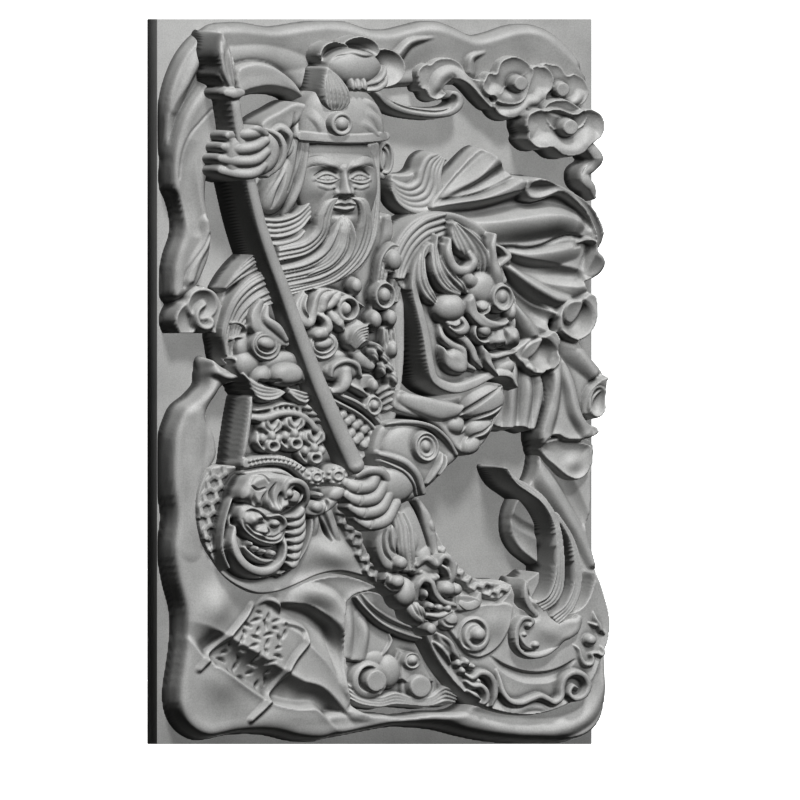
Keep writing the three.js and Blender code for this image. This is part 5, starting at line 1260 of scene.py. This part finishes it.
def blade():
    cut = bladeCut
    c = Carving(cut)
    c.plate([(14, -181), (22, -200), (30, -216), (42, -236), (58, -254), (76, -267), (98, -274.5),
        (126, -277), (150, -272), (170, -262), (182, -249), (190, -232), (197, -214), (198.4, -196),
        (194, -178), (187, -160), (183.6, -155.7), (181.3, -167), (176.7, -179.5), (168, -188), (140, -192),
        (112, -184), (110.6, -175), (106.8, -167.6), (102, -176), (94, -183), (76, -184), (50, -190)],
        cut["top"], edge=cut["edge"])
    c.bump((150, -232), (34, 26), 2.2, 30)
    # the cheek by the dragon overlaps the blade
    c.plate([(46, -190), (60, -188), (80, -184), (106.8, -185.4), (106.4, -196), (102.2, -208.2),
        (94.1, -219.7), (84, -226.4), (75.6, -228.6), (65.2, -225), (56, -214), (46, -200)], cut["cheek"],
        edge=1.2)
    c.bump((90, -200), (14, 14), 3.4, 40)
    c.plate([(52, -176), (60, -175), (70, -176.4), (77, -179.6), (76.4, -186), (66, -190), (54, -190)], 43,
        edge=4, deep=2.5)
    # its round eye winds out from a ball
    c.dome((71.5, -209.5), (14.6, 15), 45, 4, power=3)
    turn = [(71.5 + (13.2 - 0.55 * k) * math.cos(math.radians(250 - 32 * k)),
        -209.5 + (13.4 - 0.55 * k) * math.sin(math.radians(250 - 32 * k))) for k in range(13)]
    c.groove(turn, 2.2, [0.6, 2.6, 3.2, 3.2, 3.2, 3.2, 3.2, 3, 3, 3, 2.6, 2, 1])
    c.dome((73.3, -209.4), (7.6, 7.2), 49.4, 7)
    # lobes along the edge below the dragon's beard
    c.dome((48, -198.6), (9, 6.6), 45, 4, turn=20)
    c.groove([(40, -196), (46, -201.4), (55, -201.6)], 1.6, [0.6, 1.8, 0.6])
    c.plate([(36, -207), (42, -209), (49, -213), (55, -220), (58, -228), (54, -231), (49, -227), (45, -222),
        (39, -218)], 43, edge=3.4, deep=3)
    c.ridge([(37, -209), (43, -212), (48.6, -217), (52, -224), (57, -229)], [1.4, 2.4, 2.6, 2.6, 1.4],
        [42, 44.6, 45, 44.6, 43])
    c.ridge([(36, -216), (41, -220.4), (46, -226), (50, -233)], [1.2, 2.4, 2.4, 1.2], [41, 43.4, 43.4, 41.6])
    c.domes((56.4, -233.4, 3.8, 3.8, 44, 3.4), (63.6, -232.4, 3.8, 3.8, 44, 3.4), (69.4, -236, 3, 3, 44, 3.4),
        (60, -239.4, 3.4, 3.4, 44, 3.4))
    c.ridge([(63, -242), (69, -245.4), (76, -241.4), (83.6, -243), (88.6, -250), (90, -260), (88, -268)],
        [1.6, 3, 3.4, 3.6, 3.6, 3.2, 1.4], [42, 44.4, 45, 45.4, 45, 44, 41], 0.85)
    c.ridge([(64, -248), (70, -251.6), (77, -252), (82, -257), (82.6, -264), (79, -268)],
        [1.4, 2.8, 3, 3.2, 2.8, 1.2], [41.6, 44, 44.6, 44.4, 43, 41], 0.85)
    c.ridge([(66.4, -256), (72, -259.6), (77, -263)], [1.2, 2.6, 1.4], [41, 43.6, 41.6], 0.85)
    c.dome((74.6, -248), (3, 2.6), 44.4, 3)
    # a scooped arc along the blade's back
    c.fold([(88.6, -228), (102.2, -235.7), (120.7, -241.1), (139.1, -241.1), (153, -236.9), (165, -230.4)],
        (1.3, [1.5, 6, 8.4, 8.4, 6, 1.5]), [-0.5, -2.8, -4, -4, -2.8, -0.5], 1.1)
    # the wave ornament
    c.ridge([(93.4, -239), (94.8, -247.7), (97.6, -258.1), (104, -264.8), (113.7, -266), (123, -262.9),
        (131, -260.6), (138, -262.9), (144.2, -265.4), (150.2, -261.2), (151.1, -252.9), (154.1, -245.2),
        (162.2, -241.1), (171.5, -244), (175.4, -252.3), (171, -260.4), (162.9, -262.6), (158, -257.7),
        (161.4, -252), (166.4, -254)], [0.7, 2.2, 3, 3.3, 3.3, 3.3, 3.3, 3.3, 3.3, 3.4, 3.4, 3.4, 3.5, 3.5,
        3.4, 3.2, 3, 2.6, 2.2, 1.4], [40, 43, 44.6, 45, 45, 45, 45, 45, 45, 45, 45, 45.4, 45.6, 45.4, 45, 45,
        44.6, 44.4, 44, 43], 0.85)
    c.fold([(108, -274), (122, -269.6), (134, -269), (147, -273)], (3, 4), [0, 1.4, 1.4, 0], 1.2)
    # the pearl with its flames
    c.dome((177.9, -214), (5.8, 5.4), 45.6, 6)
    for line, half in (([(182.5, -191), (183.7, -197.4), (186.5, -201.4), (188, -205.4), (191.6, -208.4)],
            [0.6, 1.8, 2.4, 2.2, 1.6]), ([(178.2, -199.6), (183, -201.8), (187, -203)], [0.6, 1.8, 1.6]),
            ([(162.4, -217), (167.6, -221.6), (169.6, -228.6), (173.8, -234), (179.4, -233.6), (180.6, -229),
            (179, -225.4), (184.2, -224.8), (188.4, -226.6), (190.6, -223.4), (189, -219.4)], [0.5, 1.5, 2,
            2.4, 2.2, 1.8, 1.7, 1.8, 1.8, 1.6, 0.7])):
        c.ridge(line, half, [39.6] + [42.4] * (len(line) - 2) + [40], 0.95)
    return c


finHeadCut = {"low": (90, -236), "high": (178, -152), "cell": 0.6, "gain": 0.25, "top": 47, "edge": 6,
    "deep": 5, "leaf": 44.6}


def finHead():
    cut = finHeadCut
    c = Carving(cut)
    # the head, the tail that curls up behind it and the neck of the leaf that stands over it
    c.plate([(103.8, -211), (105, -201.5), (109.6, -194.6), (115.7, -193), (121.8, -195.3), (125.2, -193.9),
        (124.6, -189.1), (120.3, -186.6), (115.7, -186.4), (112.9, -182), (112.3, -172.6), (117.2, -162.2),
        (118.4, -169.8), (120, -177), (125, -179), (133, -181), (139, -186), (138.6, -192), (145, -197),
        (152, -196), (157, -195), (161.7, -194.6), (164.8, -191.6), (169.4, -193.9), (169.7, -200.1),
        (166.3, -208.4), (158.6, -213.9), (152.5, -216.4), (146.4, -222.2), (135.6, -228.4), (123.4, -230.5),
        (112.6, -227.7), (105.7, -220.8)], cut["top"], edge=cut["edge"], deep=cut["deep"])
    c.bump((139, -207), (14, 9), 3.6, -24)
    c.ridge([(118.4, -202), (121, -199), (118.4, -195.8), (112.4, -196), (107.8, -201.5), (106.4, -210),
        (108, -218.6), (113.6, -225), (123.4, -227.4), (134.6, -225), (146, -219)], [1.6, 2.4, 2.6, 3, 3.2,
        3.2, 3.2, 3, 2.8, 2.6, 1.6], [51, 51.4, 51.4, 51, 50.6, 50, 49.6, 49.6, 49.4, 49, 47], 0.8)
    c.dome((117.6, -202), (2.8, 2.8), 52.4, 3)
    c.groove([(110, -211), (111.6, -217.6), (116.6, -222.4), (124.6, -223)], [1.2, 2.8, 3, 1.2],
        [2, 9, 10, 2])
    c.domes((124.8, -218, 4, 3.2, 50.4, 4), (114.8, -209.4, 3, 2.2, 48.6, 3))
    # the leaf over the head
    c.plate([(117.6, -166), (124, -160), (130, -156.4), (130.4, -166), (127, -174), (122.6, -180.6)],
        cut["leaf"], edge=1.6)
    c.ridge([(117.2, -162.4), (115, -170), (115.6, -179), (119, -186), (126, -193)], [0.8, 2.4, 3.2, 3.6, 3],
        [46, 49, 49.8, 49, 47.4], 0.8)
    return c


plumeCut = {"low": (90, -206), "high": (182, -62), "cell": 0.7, "top": 46, "second": 44, "web": 24}


def plume():
    cut = plumeCut
    c = Carving(cut)

    def branch(inner, outer, top, ribs, half, tip):
        # a flat band with ribs that run along it from one border to the other
        c.plate(inner + outer[::-1], top, edge=1)
        for share, crest in ribs:
            c.ridge(c.between(inner, outer, share), half, [crest] * (len(half) - 2) + [crest - tip, 46], 1)

    branch([(95.4, -70.3), (98.2, -77.4), (103.6, -84.8), (113.8, -91.4), (125.6, -98.8), (134, -108.8),
        (139.2, -120.4), (141, -138), (140.8, -155), (138, -168), (132.6, -177.6), (124.6, -182.4)],
        [(96.8, -69.8), (106.4, -79), (118.4, -84.8), (129.4, -91.8), (138.6, -102.2), (145, -113),
        (148.4, -124.5), (150.6, -140), (151, -158), (149.4, -174), (143.4, -184), (133, -191)], cut["top"],
        ((0.14, 50.5), (0.4, 50), (0.64, 49.6), (0.88, 49.4)), [0.4, 1.2, 1.3, 1.4, 1.5, 1.5, 1.5, 1.6, 1.9,
        2, 2, 1.6], 1)
    branch([(143, -108), (149, -121), (155, -132), (158, -144), (159.4, -158), (157.6, -172), (150.6, -184.6),
        (139, -193.6)], [(145, -107), (151.6, -116), (159.4, -128), (164.6, -142), (167.6, -158),
        (165.6, -176), (158, -191), (146, -202)], cut["second"], ((0.12, 48), (0.4, 47.6), (0.66, 47.8),
        (0.9, 48)), [0.5, 1.1, 1.3, 1.5, 1.6, 1.8, 1.9, 1.5], 0)
    # webs between the branches and beside them
    c.plate([(142, -106), (148, -114), (156, -130), (160, -146), (160, -160), (157, -176), (147, -192),
        (138, -190), (145, -174), (148.6, -157), (149, -140), (147, -124.5)], cut["web"], edge=1)
    return c


bottomCloudsCut = {"low": (-48, -274), "high": (74, -168), "cell": 0.66, "gain": 0.2, "top": 15, "edge": 1,
    "hem": 20, "sole": 26}


def bottomClouds():
    cut = bottomCloudsCut
    c = Carving(cut)
    c.plate([(-36, -172), (-22, -173), (-4, -174), (10, -184), (28, -206), (44, -230), (62, -252), (70, -262),
        (62, -268), (30, -268), (0, -268), (-30, -264), (-40, -240), (-38, -200)], cut["top"],
        edge=cut["edge"])
    # the robe's hem and the sole
    c.plate([(-40, -180), (-32, -178), (-24, -186), (-12, -196), (4, -204), (4, -214), (-2, -224), (-8, -232),
        (-26, -232), (-40, -228), (-42, -200)], cut["hem"], edge=2)
    c.fold([(-36, -184), (-34, -204), (-36, -226)], (6, 7), [2, 4, 2], 1.3)
    c.fold([(-22, -194), (-19, -208), (-22, -228)], (5, 7), [1, 3.4, 2], 1.3)
    c.ridge([(2, -206), (5, -214), (1, -222), (-6, -230)], [1, 1.6, 1.6, 1], [20, 22.6, 22.6, 20])
    c.plate([(-29, -176), (-20, -173), (-8, -175), (8, -184), (24, -199), (36, -206), (38, -211), (24, -210),
        (4, -205), (-12, -197), (-24, -186)], cut["sole"], edge=2, lean=(0.06, 0.1))
    c.ridge([(-30, -178), (-22, -188), (-9, -199), (8, -207), (28, -212.6), (38, -213)],
        [1.2, 1.8, 2, 2, 1.8, 1], [26.6, 29.6, 30, 30, 30, 28])
    c.ridge([(-26, -175), (-15, -186.4), (0, -196), (18, -203), (34, -207)], [1, 1.6, 1.8, 1.8, 1],
        [27, 29.6, 30, 30, 28])
    # a stepped plate with a boss
    for k in range(3):
        c.plate([(8 + 3 * k, -246), (9 + 2.4 * k, -232), (12.4 + 2 * k, -221 - 2.2 * k),
            (22, -222.6 - 2.4 * k), (32 - k, -225 - 2.6 * k), (40 - 2 * k, -236), (48 - 2 * k, -248),
            (30, -256)], 18 + 2 * k, edge=1, smooth=False)
    c.dome((22.5, -231), (8, 7.2), 27, 2.4, power=3)
    c.groove([(22.5 + 5.4 * math.cos(math.radians(30 * k)),
        -231 + 4.8 * math.sin(math.radians(30 * k))) for k in range(13)], 1.5, 2.2)
    c.dome((22.5, -231), (3.8, 3.4), 28.4, 3)
    # curling clouds
    c.dome((32, -253), (17, 17), 21, 5, power=3)
    c.dome((29.5, -252.6), (10.4, 9.6), 27.4, 2.4, power=4)
    c.groove([(40, -246), (42.6, -254), (38, -262)], 1.6, [0, 2.4, 0.6])
    c.domes((-9, -231, 13, 10, 22, 5), (2.8, -240, 12, 14.4, 25, 8))
    c.dome((-16, -247.4), (17, 16), 27, 6, power=2.4)
    c.groove([(-13.5 + 11 * math.cos(math.radians(80 + 20 * k)),
        -247.8 + 10.4 * math.sin(math.radians(80 + 20 * k))) for k in range(9)],
        [1, 2.6, 3.4, 3.6, 3.6, 3.4, 3, 2, 1], [1, 5, 8, 9, 9, 8, 6, 3, 1])
    c.dome((-13, -247.8), (10, 9.4), 31, 1.8, power=4)
    c.groove([(-3.4, -252), (-5.6, -256.4), (-10.4, -256)], [1.6, 2.2, 1], [3, 4.4, 1])
    # wavy layers under the clouds
    for k in range(4):
        c.ridge([(-36, -250 - 3.6 * k), (-24, -258 - 2.8 * k), (-6, -262 - 2.2 * k), (8, -258.6 - 2.6 * k),
            (24, -262.6 - 1.6 * k), (42, -261.6 - 2 * k), (54, -254 - 3.4 * k), (66, -258 - 2.6 * k)],
            [1.2, 1.9, 2, 2, 2, 2, 1.8, 1], [21, 23, 23.6, 23.4, 23, 22.4, 22, 20], 0.8)
    return c


groundClothCut = {"low": (-202, -302), "high": (202, 24), "cell": 1.16, "gain": 0.8, "top": 27.6, "edge": 12,
    "deep": 12, "flag": 27.6, "hem": 27, "stroke": 3}


def groundCloth():
    cut = groundClothCut
    c = Carving(cut)
    # cloth at the lower left
    c.plate([(-163, 20), (-166, 8), (-167, -2), (-176, -12), (-188, -21), (-194, -32), (-198, -44),
        (-199.5, -66), (-199, -90), (-196, -112), (-199, -138), (-195, -164), (-188, -190), (-188, -215),
        (-191, -236), (-194, -255), (-193, -270), (-187, -283), (-178, -291), (-165, -295.5), (-135, -291),
        (-105, -291), (-80, -296), (-60, -297), (-46, -294), (-18, -289), (6, -285), (22, -281), (4, -276),
        (-20, -273), (-33, -264), (-36, -230), (-60, -170), (-150, -150), (-172, -118), (-170, -86),
        (-156, -62), (-158, -44), (-165, -28), (-156, -12), (-150, -5), (-134, 0), (-122, 3), (-120, 8),
        (-126, 12), (-136, 13), (-146, 12)], cut["top"], edge=cut["edge"], deep=cut["deep"], power=2.4)
    c.fold([(-160, 8), (-148, 3), (-136, 5)], 5, 4, 1.2)
    c.fold([(-176, -30), (-180, -70), (-178, -104), (-182, -140)], 10, [1, 2, 2, 1], 1.2)
    # the flag: its sheet, its great valleys and the bulges between them
    c.plate([(-160, -152), (-150, -162), (-138, -170), (-124, -176.5), (-106, -176), (-88, -169),
        (-68, -161.5), (-48, -158.5), (-30, -161), (-14, -167), (-6, -171), (-18, -175), (-32, -179),
        (-40, -190), (-42, -206), (-40, -230), (-38, -252), (-36, -268), (-44, -276), (-60, -277),
        (-90, -272), (-120, -266), (-145, -256), (-160, -236), (-168, -210), (-168, -180)], cut["flag"],
        edge=2.4, deep=1.6)
    c.bump((-160, -188), (13, 19), 6, -20)
    c.bump((-156, -246), (17, 20), 7, 30)
    c.bump((-90, -277), (34, 9), 2.4, -4)
    c.fold([(-96, -182), (-74, -175), (-54, -180), (-43, -196), (-39, -224), (-36, -252), (-24, -272)], (9,
        [8, 10, 12, 12, 11, 9, 6]), [1, 4, 5.6, 5.6, 4.4, 3, 1], 1.2)
    c.fold([(-106, -186), (-88.2, -190.2), (-71.3, -195.3), (-57.2, -205.4), (-46.6, -219.4), (-41, -236),
        (-38, -252)], ([4, 7, 9, 9, 8, 6, 3], [8, 14, 18, 20, 18, 12, 6]), [-1, -7, -12, -14, -12, -6, -1],
        1.2)
    c.fold([(-189.6, -204), (-176, -213), (-164.2, -222), (-130.4, -242), (-102.3, -257.4), (-82.5, -262.5),
        (-65.7, -263.7), (-48.8, -277.7), (-34.7, -292)], ([8, 14, 18, 20, 20, 16, 12, 10, 8],
        [4, 6, 9, 10, 10, 9, 8, 7, 6]), [0, -3, -11, -15, -15, -12, -10, -10, -7], 1.2)
    c.ridge([(-122, -185), (-113, -180.4), (-104, -183.4), (-100, -190)], [1.4, 3, 2.8, 1.2],
        [27.6, 30.4, 31, 28.6])
    # two long strokes, and rows of plain short ones where the flag carries writing
    c.fold([(-126.2, -185.2), (-133.2, -195.3), (-147.3, -210.5), (-161.4, -223.2), (-175.5, -238.4)], 3.4,
        [2, 3.6, 3.6, 3.6, 2])
    c.fold([(-95.2, -199.1), (-82.5, -201.6), (-74.1, -206.7), (-75.5, -215.6), (-86.8, -229.5),
        (-96.6, -244.7), (-105.1, -257.4), (-113.5, -267.5), (-127.6, -280.2)], 3.6, [2.4, 3.4, 3.4, 3.4, 3.4,
        3.4, 4.4, 3.4, 2])
    for row in range(9):
        for k in range(4):
            s = row / 8
            t = 0.14 + 0.25 * k + 0.05 * math.sin(2.1 * row)
            x = (-124 - 40 * s) * (1 - t) + (-92 - 14 * s) * t
            z = (-190 - 42 * s) * (1 - t) + (-203 - 52 * s) * t
            turn = math.radians((-22, 66, 14, 108)[(k + 2 * row + row // 3) % 4])
            reach = 4.2 if (k + row) % 3 else 2.6
            side, rise = reach * math.cos(turn), reach * math.sin(turn)
            c.groove([(x - side, z - rise), (x + 0.6, z + 0.5), (x + side, z + rise)], [0.9, 1.7, 0.9], [1.4,
                cut["stroke"], 1.4])
    # cloth that hems the blade at the lower right: a broad roll with a dark underside
    c.plate([(-70, -285), (-46, -293), (-18, -288.6), (6, -284.6), (28, -284.6), (52, -286.8), (75, -292),
        (98, -296), (135, -298.6), (165, -298), (184, -293), (196, -281), (200.6, -264), (200.4, -240),
        (198, -216), (188, -202), (168, -202), (150, -204), (110, -250), (80, -264), (63, -272.6), (39, -274),
        (12, -277), (-12, -276), (-33, -272), (-60, -276)], cut["hem"], edge=7, deep=7)
    c.fold([(-30, -275), (0, -274), (28.5, -274), (52, -275.6), (75, -280), (100, -286), (121, -288.2),
        (145, -288.6), (167, -285.1), (183, -276), (191, -262), (194.6, -245), (194, -225)], ([8, 7, 6, 7, 8,
        9, 10, 10, 10, 9, 8, 8, 8], [7, 7, 7, 8, 9, 8, 8, 8, 8, 8, 7, 6, 6]), [2, 3, 3.4, 3.6, 3.6, 3.6, 3.6,
        3.6, 3.6, 3.4, 3, 2.6, 1], 1.3)
    return c


carvings = (
    borderCloth, groundCloth, polearm, upperHand, raisedArm, head, beard, flameLock, topknot, buttonDisc,
    skyClouds, cape, sideCloth, chest, shoulderGuard, lowerArm, lowerHand, knee, thigh, dragon, blade,
    finHead, plume, bottomClouds,
)


stoneLook = {
    "color": (0.40, 0.40, 0.396),
    "pale": (0.43, 0.43, 0.425),
    "dark": (0.36, 0.36, 0.356),
    "roughness": 0.62,
    "grain": 900.0,       # noise scale of the fine grain, per metre
    "grainDepth": 0.0004,
    "grainShare": 0.55,   # how much the grain tints the stone
    "mottle": 26.0,       # noise scale of the broad clouding, per metre
    "clouds": (0.32, 0.52, 0.72),               # where the clouding is dark, middling and pale
    "grainTones": ((0.30, 0.72), (0.62, 1.0)),   # place in the noise and tone
    "paintedShadeTones": ((0.48, 0.96), (0.7, 1.0)),     # painted shade: place between hollow and crest, and its tone; crests a touch lighter
    "bump": 0.12,
    # painted shade: the stone's colour is darkened in hollows and lightened a touch on crests
    "hollowReach": 3.0,   # millimetres over which a hollow is told from its surroundings
    "hollowDepth": 4.2,   # a hollow this deep gets the full painted shade
    "hollowTone": 0.25,   # how much of the light a full hollow keeps
    "sharp": 140,         # degrees from which an edge stays crisp
}


def stoneMaterial():
    look = stoneLook
    material = bpy.data.materials.new("grey carving stone")
    material.use_nodes = True
    nodes, links = material.node_tree.nodes, material.node_tree.links
    shader = nodes["Principled BSDF"]
    shader.inputs["Roughness"].default_value = look["roughness"]
    place = nodes.new("ShaderNodeTexCoord")

    def noise(scale, detail):
        texture = nodes.new("ShaderNodeTexNoise")
        texture.inputs["Scale"].default_value = scale
        texture.inputs["Detail"].default_value = detail
        texture.inputs["Roughness"].default_value = 0.55
        links.new(place.outputs["Object"], texture.inputs["Vector"])
        return texture.outputs["Fac"]

    def greys(tones):
        return [(place, (tone, tone, tone)) for place, tone in tones]

    def ramp(source, stops):
        band = nodes.new("ShaderNodeValToRGB")
        while len(band.color_ramp.elements) < len(stops):
            band.color_ramp.elements.new(0.5)
        for element, (position, color) in zip(band.color_ramp.elements, stops):
            element.position = position
            element.color = (*color, 1)
        links.new(source, band.inputs["Fac"])
        return band.outputs["Color"]

    def multiplied(factor, first, second):
        mix = nodes.new("ShaderNodeMix")
        mix.data_type = "RGBA"
        mix.blend_type = "MULTIPLY"
        mix.inputs["Factor"].default_value = factor
        links.new(first, mix.inputs[6])
        links.new(second, mix.inputs[7])
        return mix.outputs[2]

    shades = (look["dark"], look["color"], look["pale"])
    clouding = ramp(noise(look["mottle"], 5), list(zip(look["clouds"], shades)))
    grain = ramp(noise(look["grain"], 2), greys(look["grainTones"]))
    # painted shade: the base colour is darkened in hollows and lightened a touch on crests, over the random
    # clouding
    paintedShade = nodes.new("ShaderNodeAttribute")
    paintedShade.attribute_name = "paintedShade"
    hollowShade = ramp(paintedShade.outputs["Fac"], greys(((0.0, look["hollowTone"]), *look["paintedShadeTones"])))
    cloudedAndShaded = multiplied(1.0, clouding, hollowShade)
    links.new(multiplied(look["grainShare"], cloudedAndShaded, grain), shader.inputs["Base Color"])
    bump = nodes.new("ShaderNodeBump")
    bump.inputs["Strength"].default_value = look["bump"]
    bump.inputs["Distance"].default_value = look["grainDepth"]
    links.new(noise(look["grain"] * 0.6, 3), bump.inputs["Height"])
    links.new(bump.outputs["Normal"], shader.inputs["Normal"])
    return material


def finish(bm, name, material, sharp):
    # the mesh becomes a piece of the panel
    bmesh.ops.recalc_face_normals(bm, faces=bm.faces[:])
    mesh = bpy.data.meshes.new(name)
    bm.to_mesh(mesh)
    bm.free()
    mesh.materials.append(material)
    mesh.shade_smooth()
    mesh.set_sharp_from_angle(angle=math.radians(sharp))
    piece = bpy.data.objects.new(name, mesh)
    bpy.context.scene.collection.objects.link(piece)
    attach(piece, "root")
    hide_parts(slabNode)
    print(f"{name}: {sum(len(f.vertices) - 2 for f in mesh.polygons)} triangles")
    return piece


def keptCells(high):
    # the cells of a grid that are carved, with the hollows inside them but not the outside
    rows, cols = high.shape
    carved = high[1:, 1:] | high[1:, :-1] | high[:-1, 1:] | high[:-1, :-1]
    outside = np.ones((rows + 1, cols + 1), bool)
    outside[1:-1, 1:-1] = False
    free = np.ones((rows + 1, cols + 1), bool)
    free[1:-1, 1:-1] = ~carved
    count = 0
    while outside.sum() != count:
        count = outside.sum()
        grown = outside.copy()
        grown[1:, :] |= outside[:-1, :]
        grown[:-1, :] |= outside[1:, :]
        grown[:, 1:] |= outside[:, :-1]
        grown[:, :-1] |= outside[:, 1:]
        outside = grown & free
    kept = ~outside[1:-1, 1:-1]
    # no two kept cells meet at a corner alone
    changed = True
    while changed:
        a, b, c, d = kept[:-1, :-1], kept[:-1, 1:], kept[1:, :-1], kept[1:, 1:]
        pinch = (a & d & ~b & ~c) | (b & c & ~a & ~d)
        changed = pinch.any()
        for cell in (a, b, c, d):
            cell |= pinch
    return kept


def paintedShadeBy(heights, cell):
    # the measure for the painted shade: 0 in a hollow, 0.5 on plain ground and 1 on a crest
    soft = softenedOver(heights, stoneLook["hollowReach"], cell)
    return np.clip(0.5 + 0.5 * (heights - soft) / stoneLook["hollowDepth"], 0, 1)


def carvedPiece(name, carving, material):
    heights = carving.finished()
    # nothing reaches past the slab's edges
    heights[:, abs(carving.x) > slabReach[0] - carving.cell] = stoneCut["floor"]
    heights[abs(carving.z) > slabReach[1] - carving.cell, :] = stoneCut["floor"]
    # painted shade, darker in hollows, is kept on the vertices
    paintedShade = paintedShadeBy(heights, carving.cell).ravel()
    rows, cols = heights.shape
    kept = keptCells(heights > stoneCut["floor"] + stoneCut["leastHeight"])
    bm = bmesh.new()
    bmesh.ops.create_grid(bm, x_segments=cols - 1, y_segments=rows - 1, size=1.0)
    gx, gz = np.meshgrid(carving.x, carving.z)
    places = np.stack([gx, -heights - slabThickness * 1000, gz], axis=-1).reshape(-1, 3) / 1000
    layer = bm.verts.layers.float.new("paintedShade")
    for vertex, place, shadeValue in zip(bm.verts, places, paintedShade):
        vertex.co = place
        vertex[layer] = shadeValue
    bm.faces.ensure_lookup_table()
    dropped = [bm.faces[int(i)] for i in np.flatnonzero(~kept.ravel())]
    bmesh.ops.delete(bm, geom=dropped, context="FACES")
    # walls run from the outline into the slab, and a flat face closes them there
    rim = [edge for edge in bm.edges if edge.is_boundary]
    walls = bmesh.ops.extrude_edge_only(bm, edges=rim)["geom"]
    root = -(slabThickness + (stoneCut["floor"] - stoneCut["foot"]) / 1000)
    for vertex in walls:
        if isinstance(vertex, bmesh.types.BMVert):
            vertex.co.y = root
    bmesh.ops.holes_fill(bm, edges=[edge for edge in bm.edges if edge.is_boundary], sides=0)
    return finish(bm, name, material, stoneLook["sharp"])


slabShape = {
    "width": 0.4,
    "height": 0.6,
    "bevel": 0.0007,
    "paintedShade": 0.55,    # painted shade value for the slab, a little brighter than plain ground
    "sharp": 40,     # degrees from which an edge stays crisp
}


def slab(material):
    shape = slabShape
    bm = bmesh.new()
    size = Matrix.Diagonal((shape["width"], slabThickness, shape["height"], 1))
    bmesh.ops.create_cube(bm, size=1.0, matrix=Matrix.Translation((0, -slabThickness / 2, 0)) @ size)
    bmesh.ops.bevel(bm, geom=bm.edges[:], offset=shape["bevel"], offset_type="OFFSET", affect="EDGES",
                    segments=2, profile=0.5, material=-1, clamp_overlap=True)
    # the slab's painted shade, the same everywhere
    layer = bm.verts.layers.float.new("paintedShade")
    for vertex in bm.verts:
        vertex[layer] = shape["paintedShade"]
    return finish(bm, "slab", material, shape["sharp"])


stone = stoneMaterial()
slab(stone)
for build in carvings:
    carvedPiece(build.__name__, build(), stone)
print("carving done")


studio = {
    "floorLevel": -0.3,
    "floorSize": 6.0,
    "floorColor": (0.80, 0.80, 0.79),
    "floorRoughness": 0.9,
    "backdrop": 1.0,             # brightness of the backdrop that the camera sees
    "fill": 0.004,               # light that the surroundings give
    "suns": (                    # travel direction, strength, softness in degrees, casts shadows
        ((0.08, 0.70, -0.71), 1.0, 10, True),
        ((0.08, 0.70, -0.71), 2.2, 10, False),
        ((-0.45, -0.89, 0.0), 1.1, 10, False),
    ),
    "tone": "Very High Contrast",
}


def paleFloor():
    look = studio
    bm = bmesh.new()
    bmesh.ops.create_grid(bm, x_segments=1, y_segments=1, size=look["floorSize"] / 2)
    bmesh.ops.translate(bm, verts=bm.verts[:], vec=(0, 0, look["floorLevel"]))
    mesh = bpy.data.meshes.new("floor")
    bm.to_mesh(mesh)
    bm.free()
    pale = bpy.data.materials.new("pale floor")
    pale.use_nodes = True
    shader = pale.node_tree.nodes["Principled BSDF"]
    shader.inputs["Base Color"].default_value = (*look["floorColor"], 1)
    shader.inputs["Roughness"].default_value = look["floorRoughness"]
    mesh.materials.append(pale)
    floor = bpy.data.objects.new("floor", mesh)
    bpy.context.scene.collection.objects.link(floor)
    floor.visible_diffuse = False


def studioLight():
    # the camera sees a white backdrop, while little light comes from around
    world = bpy.data.worlds.new("studio")
    world.use_nodes = True
    nodes, links = world.node_tree.nodes, world.node_tree.links
    around, seen = nodes["Background"], nodes.new("ShaderNodeBackground")
    for background, strength in ((around, studio["fill"]), (seen, studio["backdrop"])):
        background.inputs["Color"].default_value = (1, 1, 1, 1)
        background.inputs["Strength"].default_value = strength
    path = nodes.new("ShaderNodeLightPath")
    mix = nodes.new("ShaderNodeMixShader")
    links.new(path.outputs["Is Camera Ray"], mix.inputs["Fac"])
    links.new(around.outputs["Background"], mix.inputs[1])
    links.new(seen.outputs["Background"], mix.inputs[2])
    links.new(mix.outputs["Shader"], nodes["World Output"].inputs["Surface"])
    bpy.context.scene.world = world
    for i, (travel, strength, softness, shadows) in enumerate(studio["suns"]):
        sun = bpy.data.lights.new(f"sun {i}", "SUN")
        sun.energy = strength
        sun.angle = math.radians(softness)
        sun.use_shadow = shadows
        lamp = bpy.data.objects.new(f"sun {i}", sun)
        lamp.rotation_euler = Vector(travel).to_track_quat("-Z", "Y").to_euler()
        bpy.context.scene.collection.objects.link(lamp)
    bpy.context.scene.view_settings.view_transform = "Standard"
    bpy.context.scene.view_settings.look = studio["tone"]


view = {
    "turn": 25.84,          # degrees to the left of the panel's front
    "frame": 0.66207,       # metres that the parallel view shows
    "sideways": 0.0294,     # the frame's middle, to the right of the panel's and below it
    "lift": -0.0153,
    "distance": 2.0,
}


def photoCamera():
    turn = math.radians(view["turn"])
    right = Vector((math.cos(turn), -math.sin(turn), 0))
    away = Vector((math.sin(turn), math.cos(turn), 0))
    lens = bpy.data.cameras.new("camera")
    lens.type = "ORTHO"
    lens.ortho_scale = view["frame"]
    lens.clip_end = 20
    camera = bpy.data.objects.new("camera", lens)
    camera.location = right * view["sideways"] + Vector((0, 0, view["lift"])) - away * view["distance"]
    camera.rotation_euler = away.to_track_quat("-Z", "Y").to_euler()
    bpy.context.scene.collection.objects.link(camera)
    bpy.context.scene.camera = camera


paleFloor()
studioLight()
photoCamera()
print("floor, light and camera done")
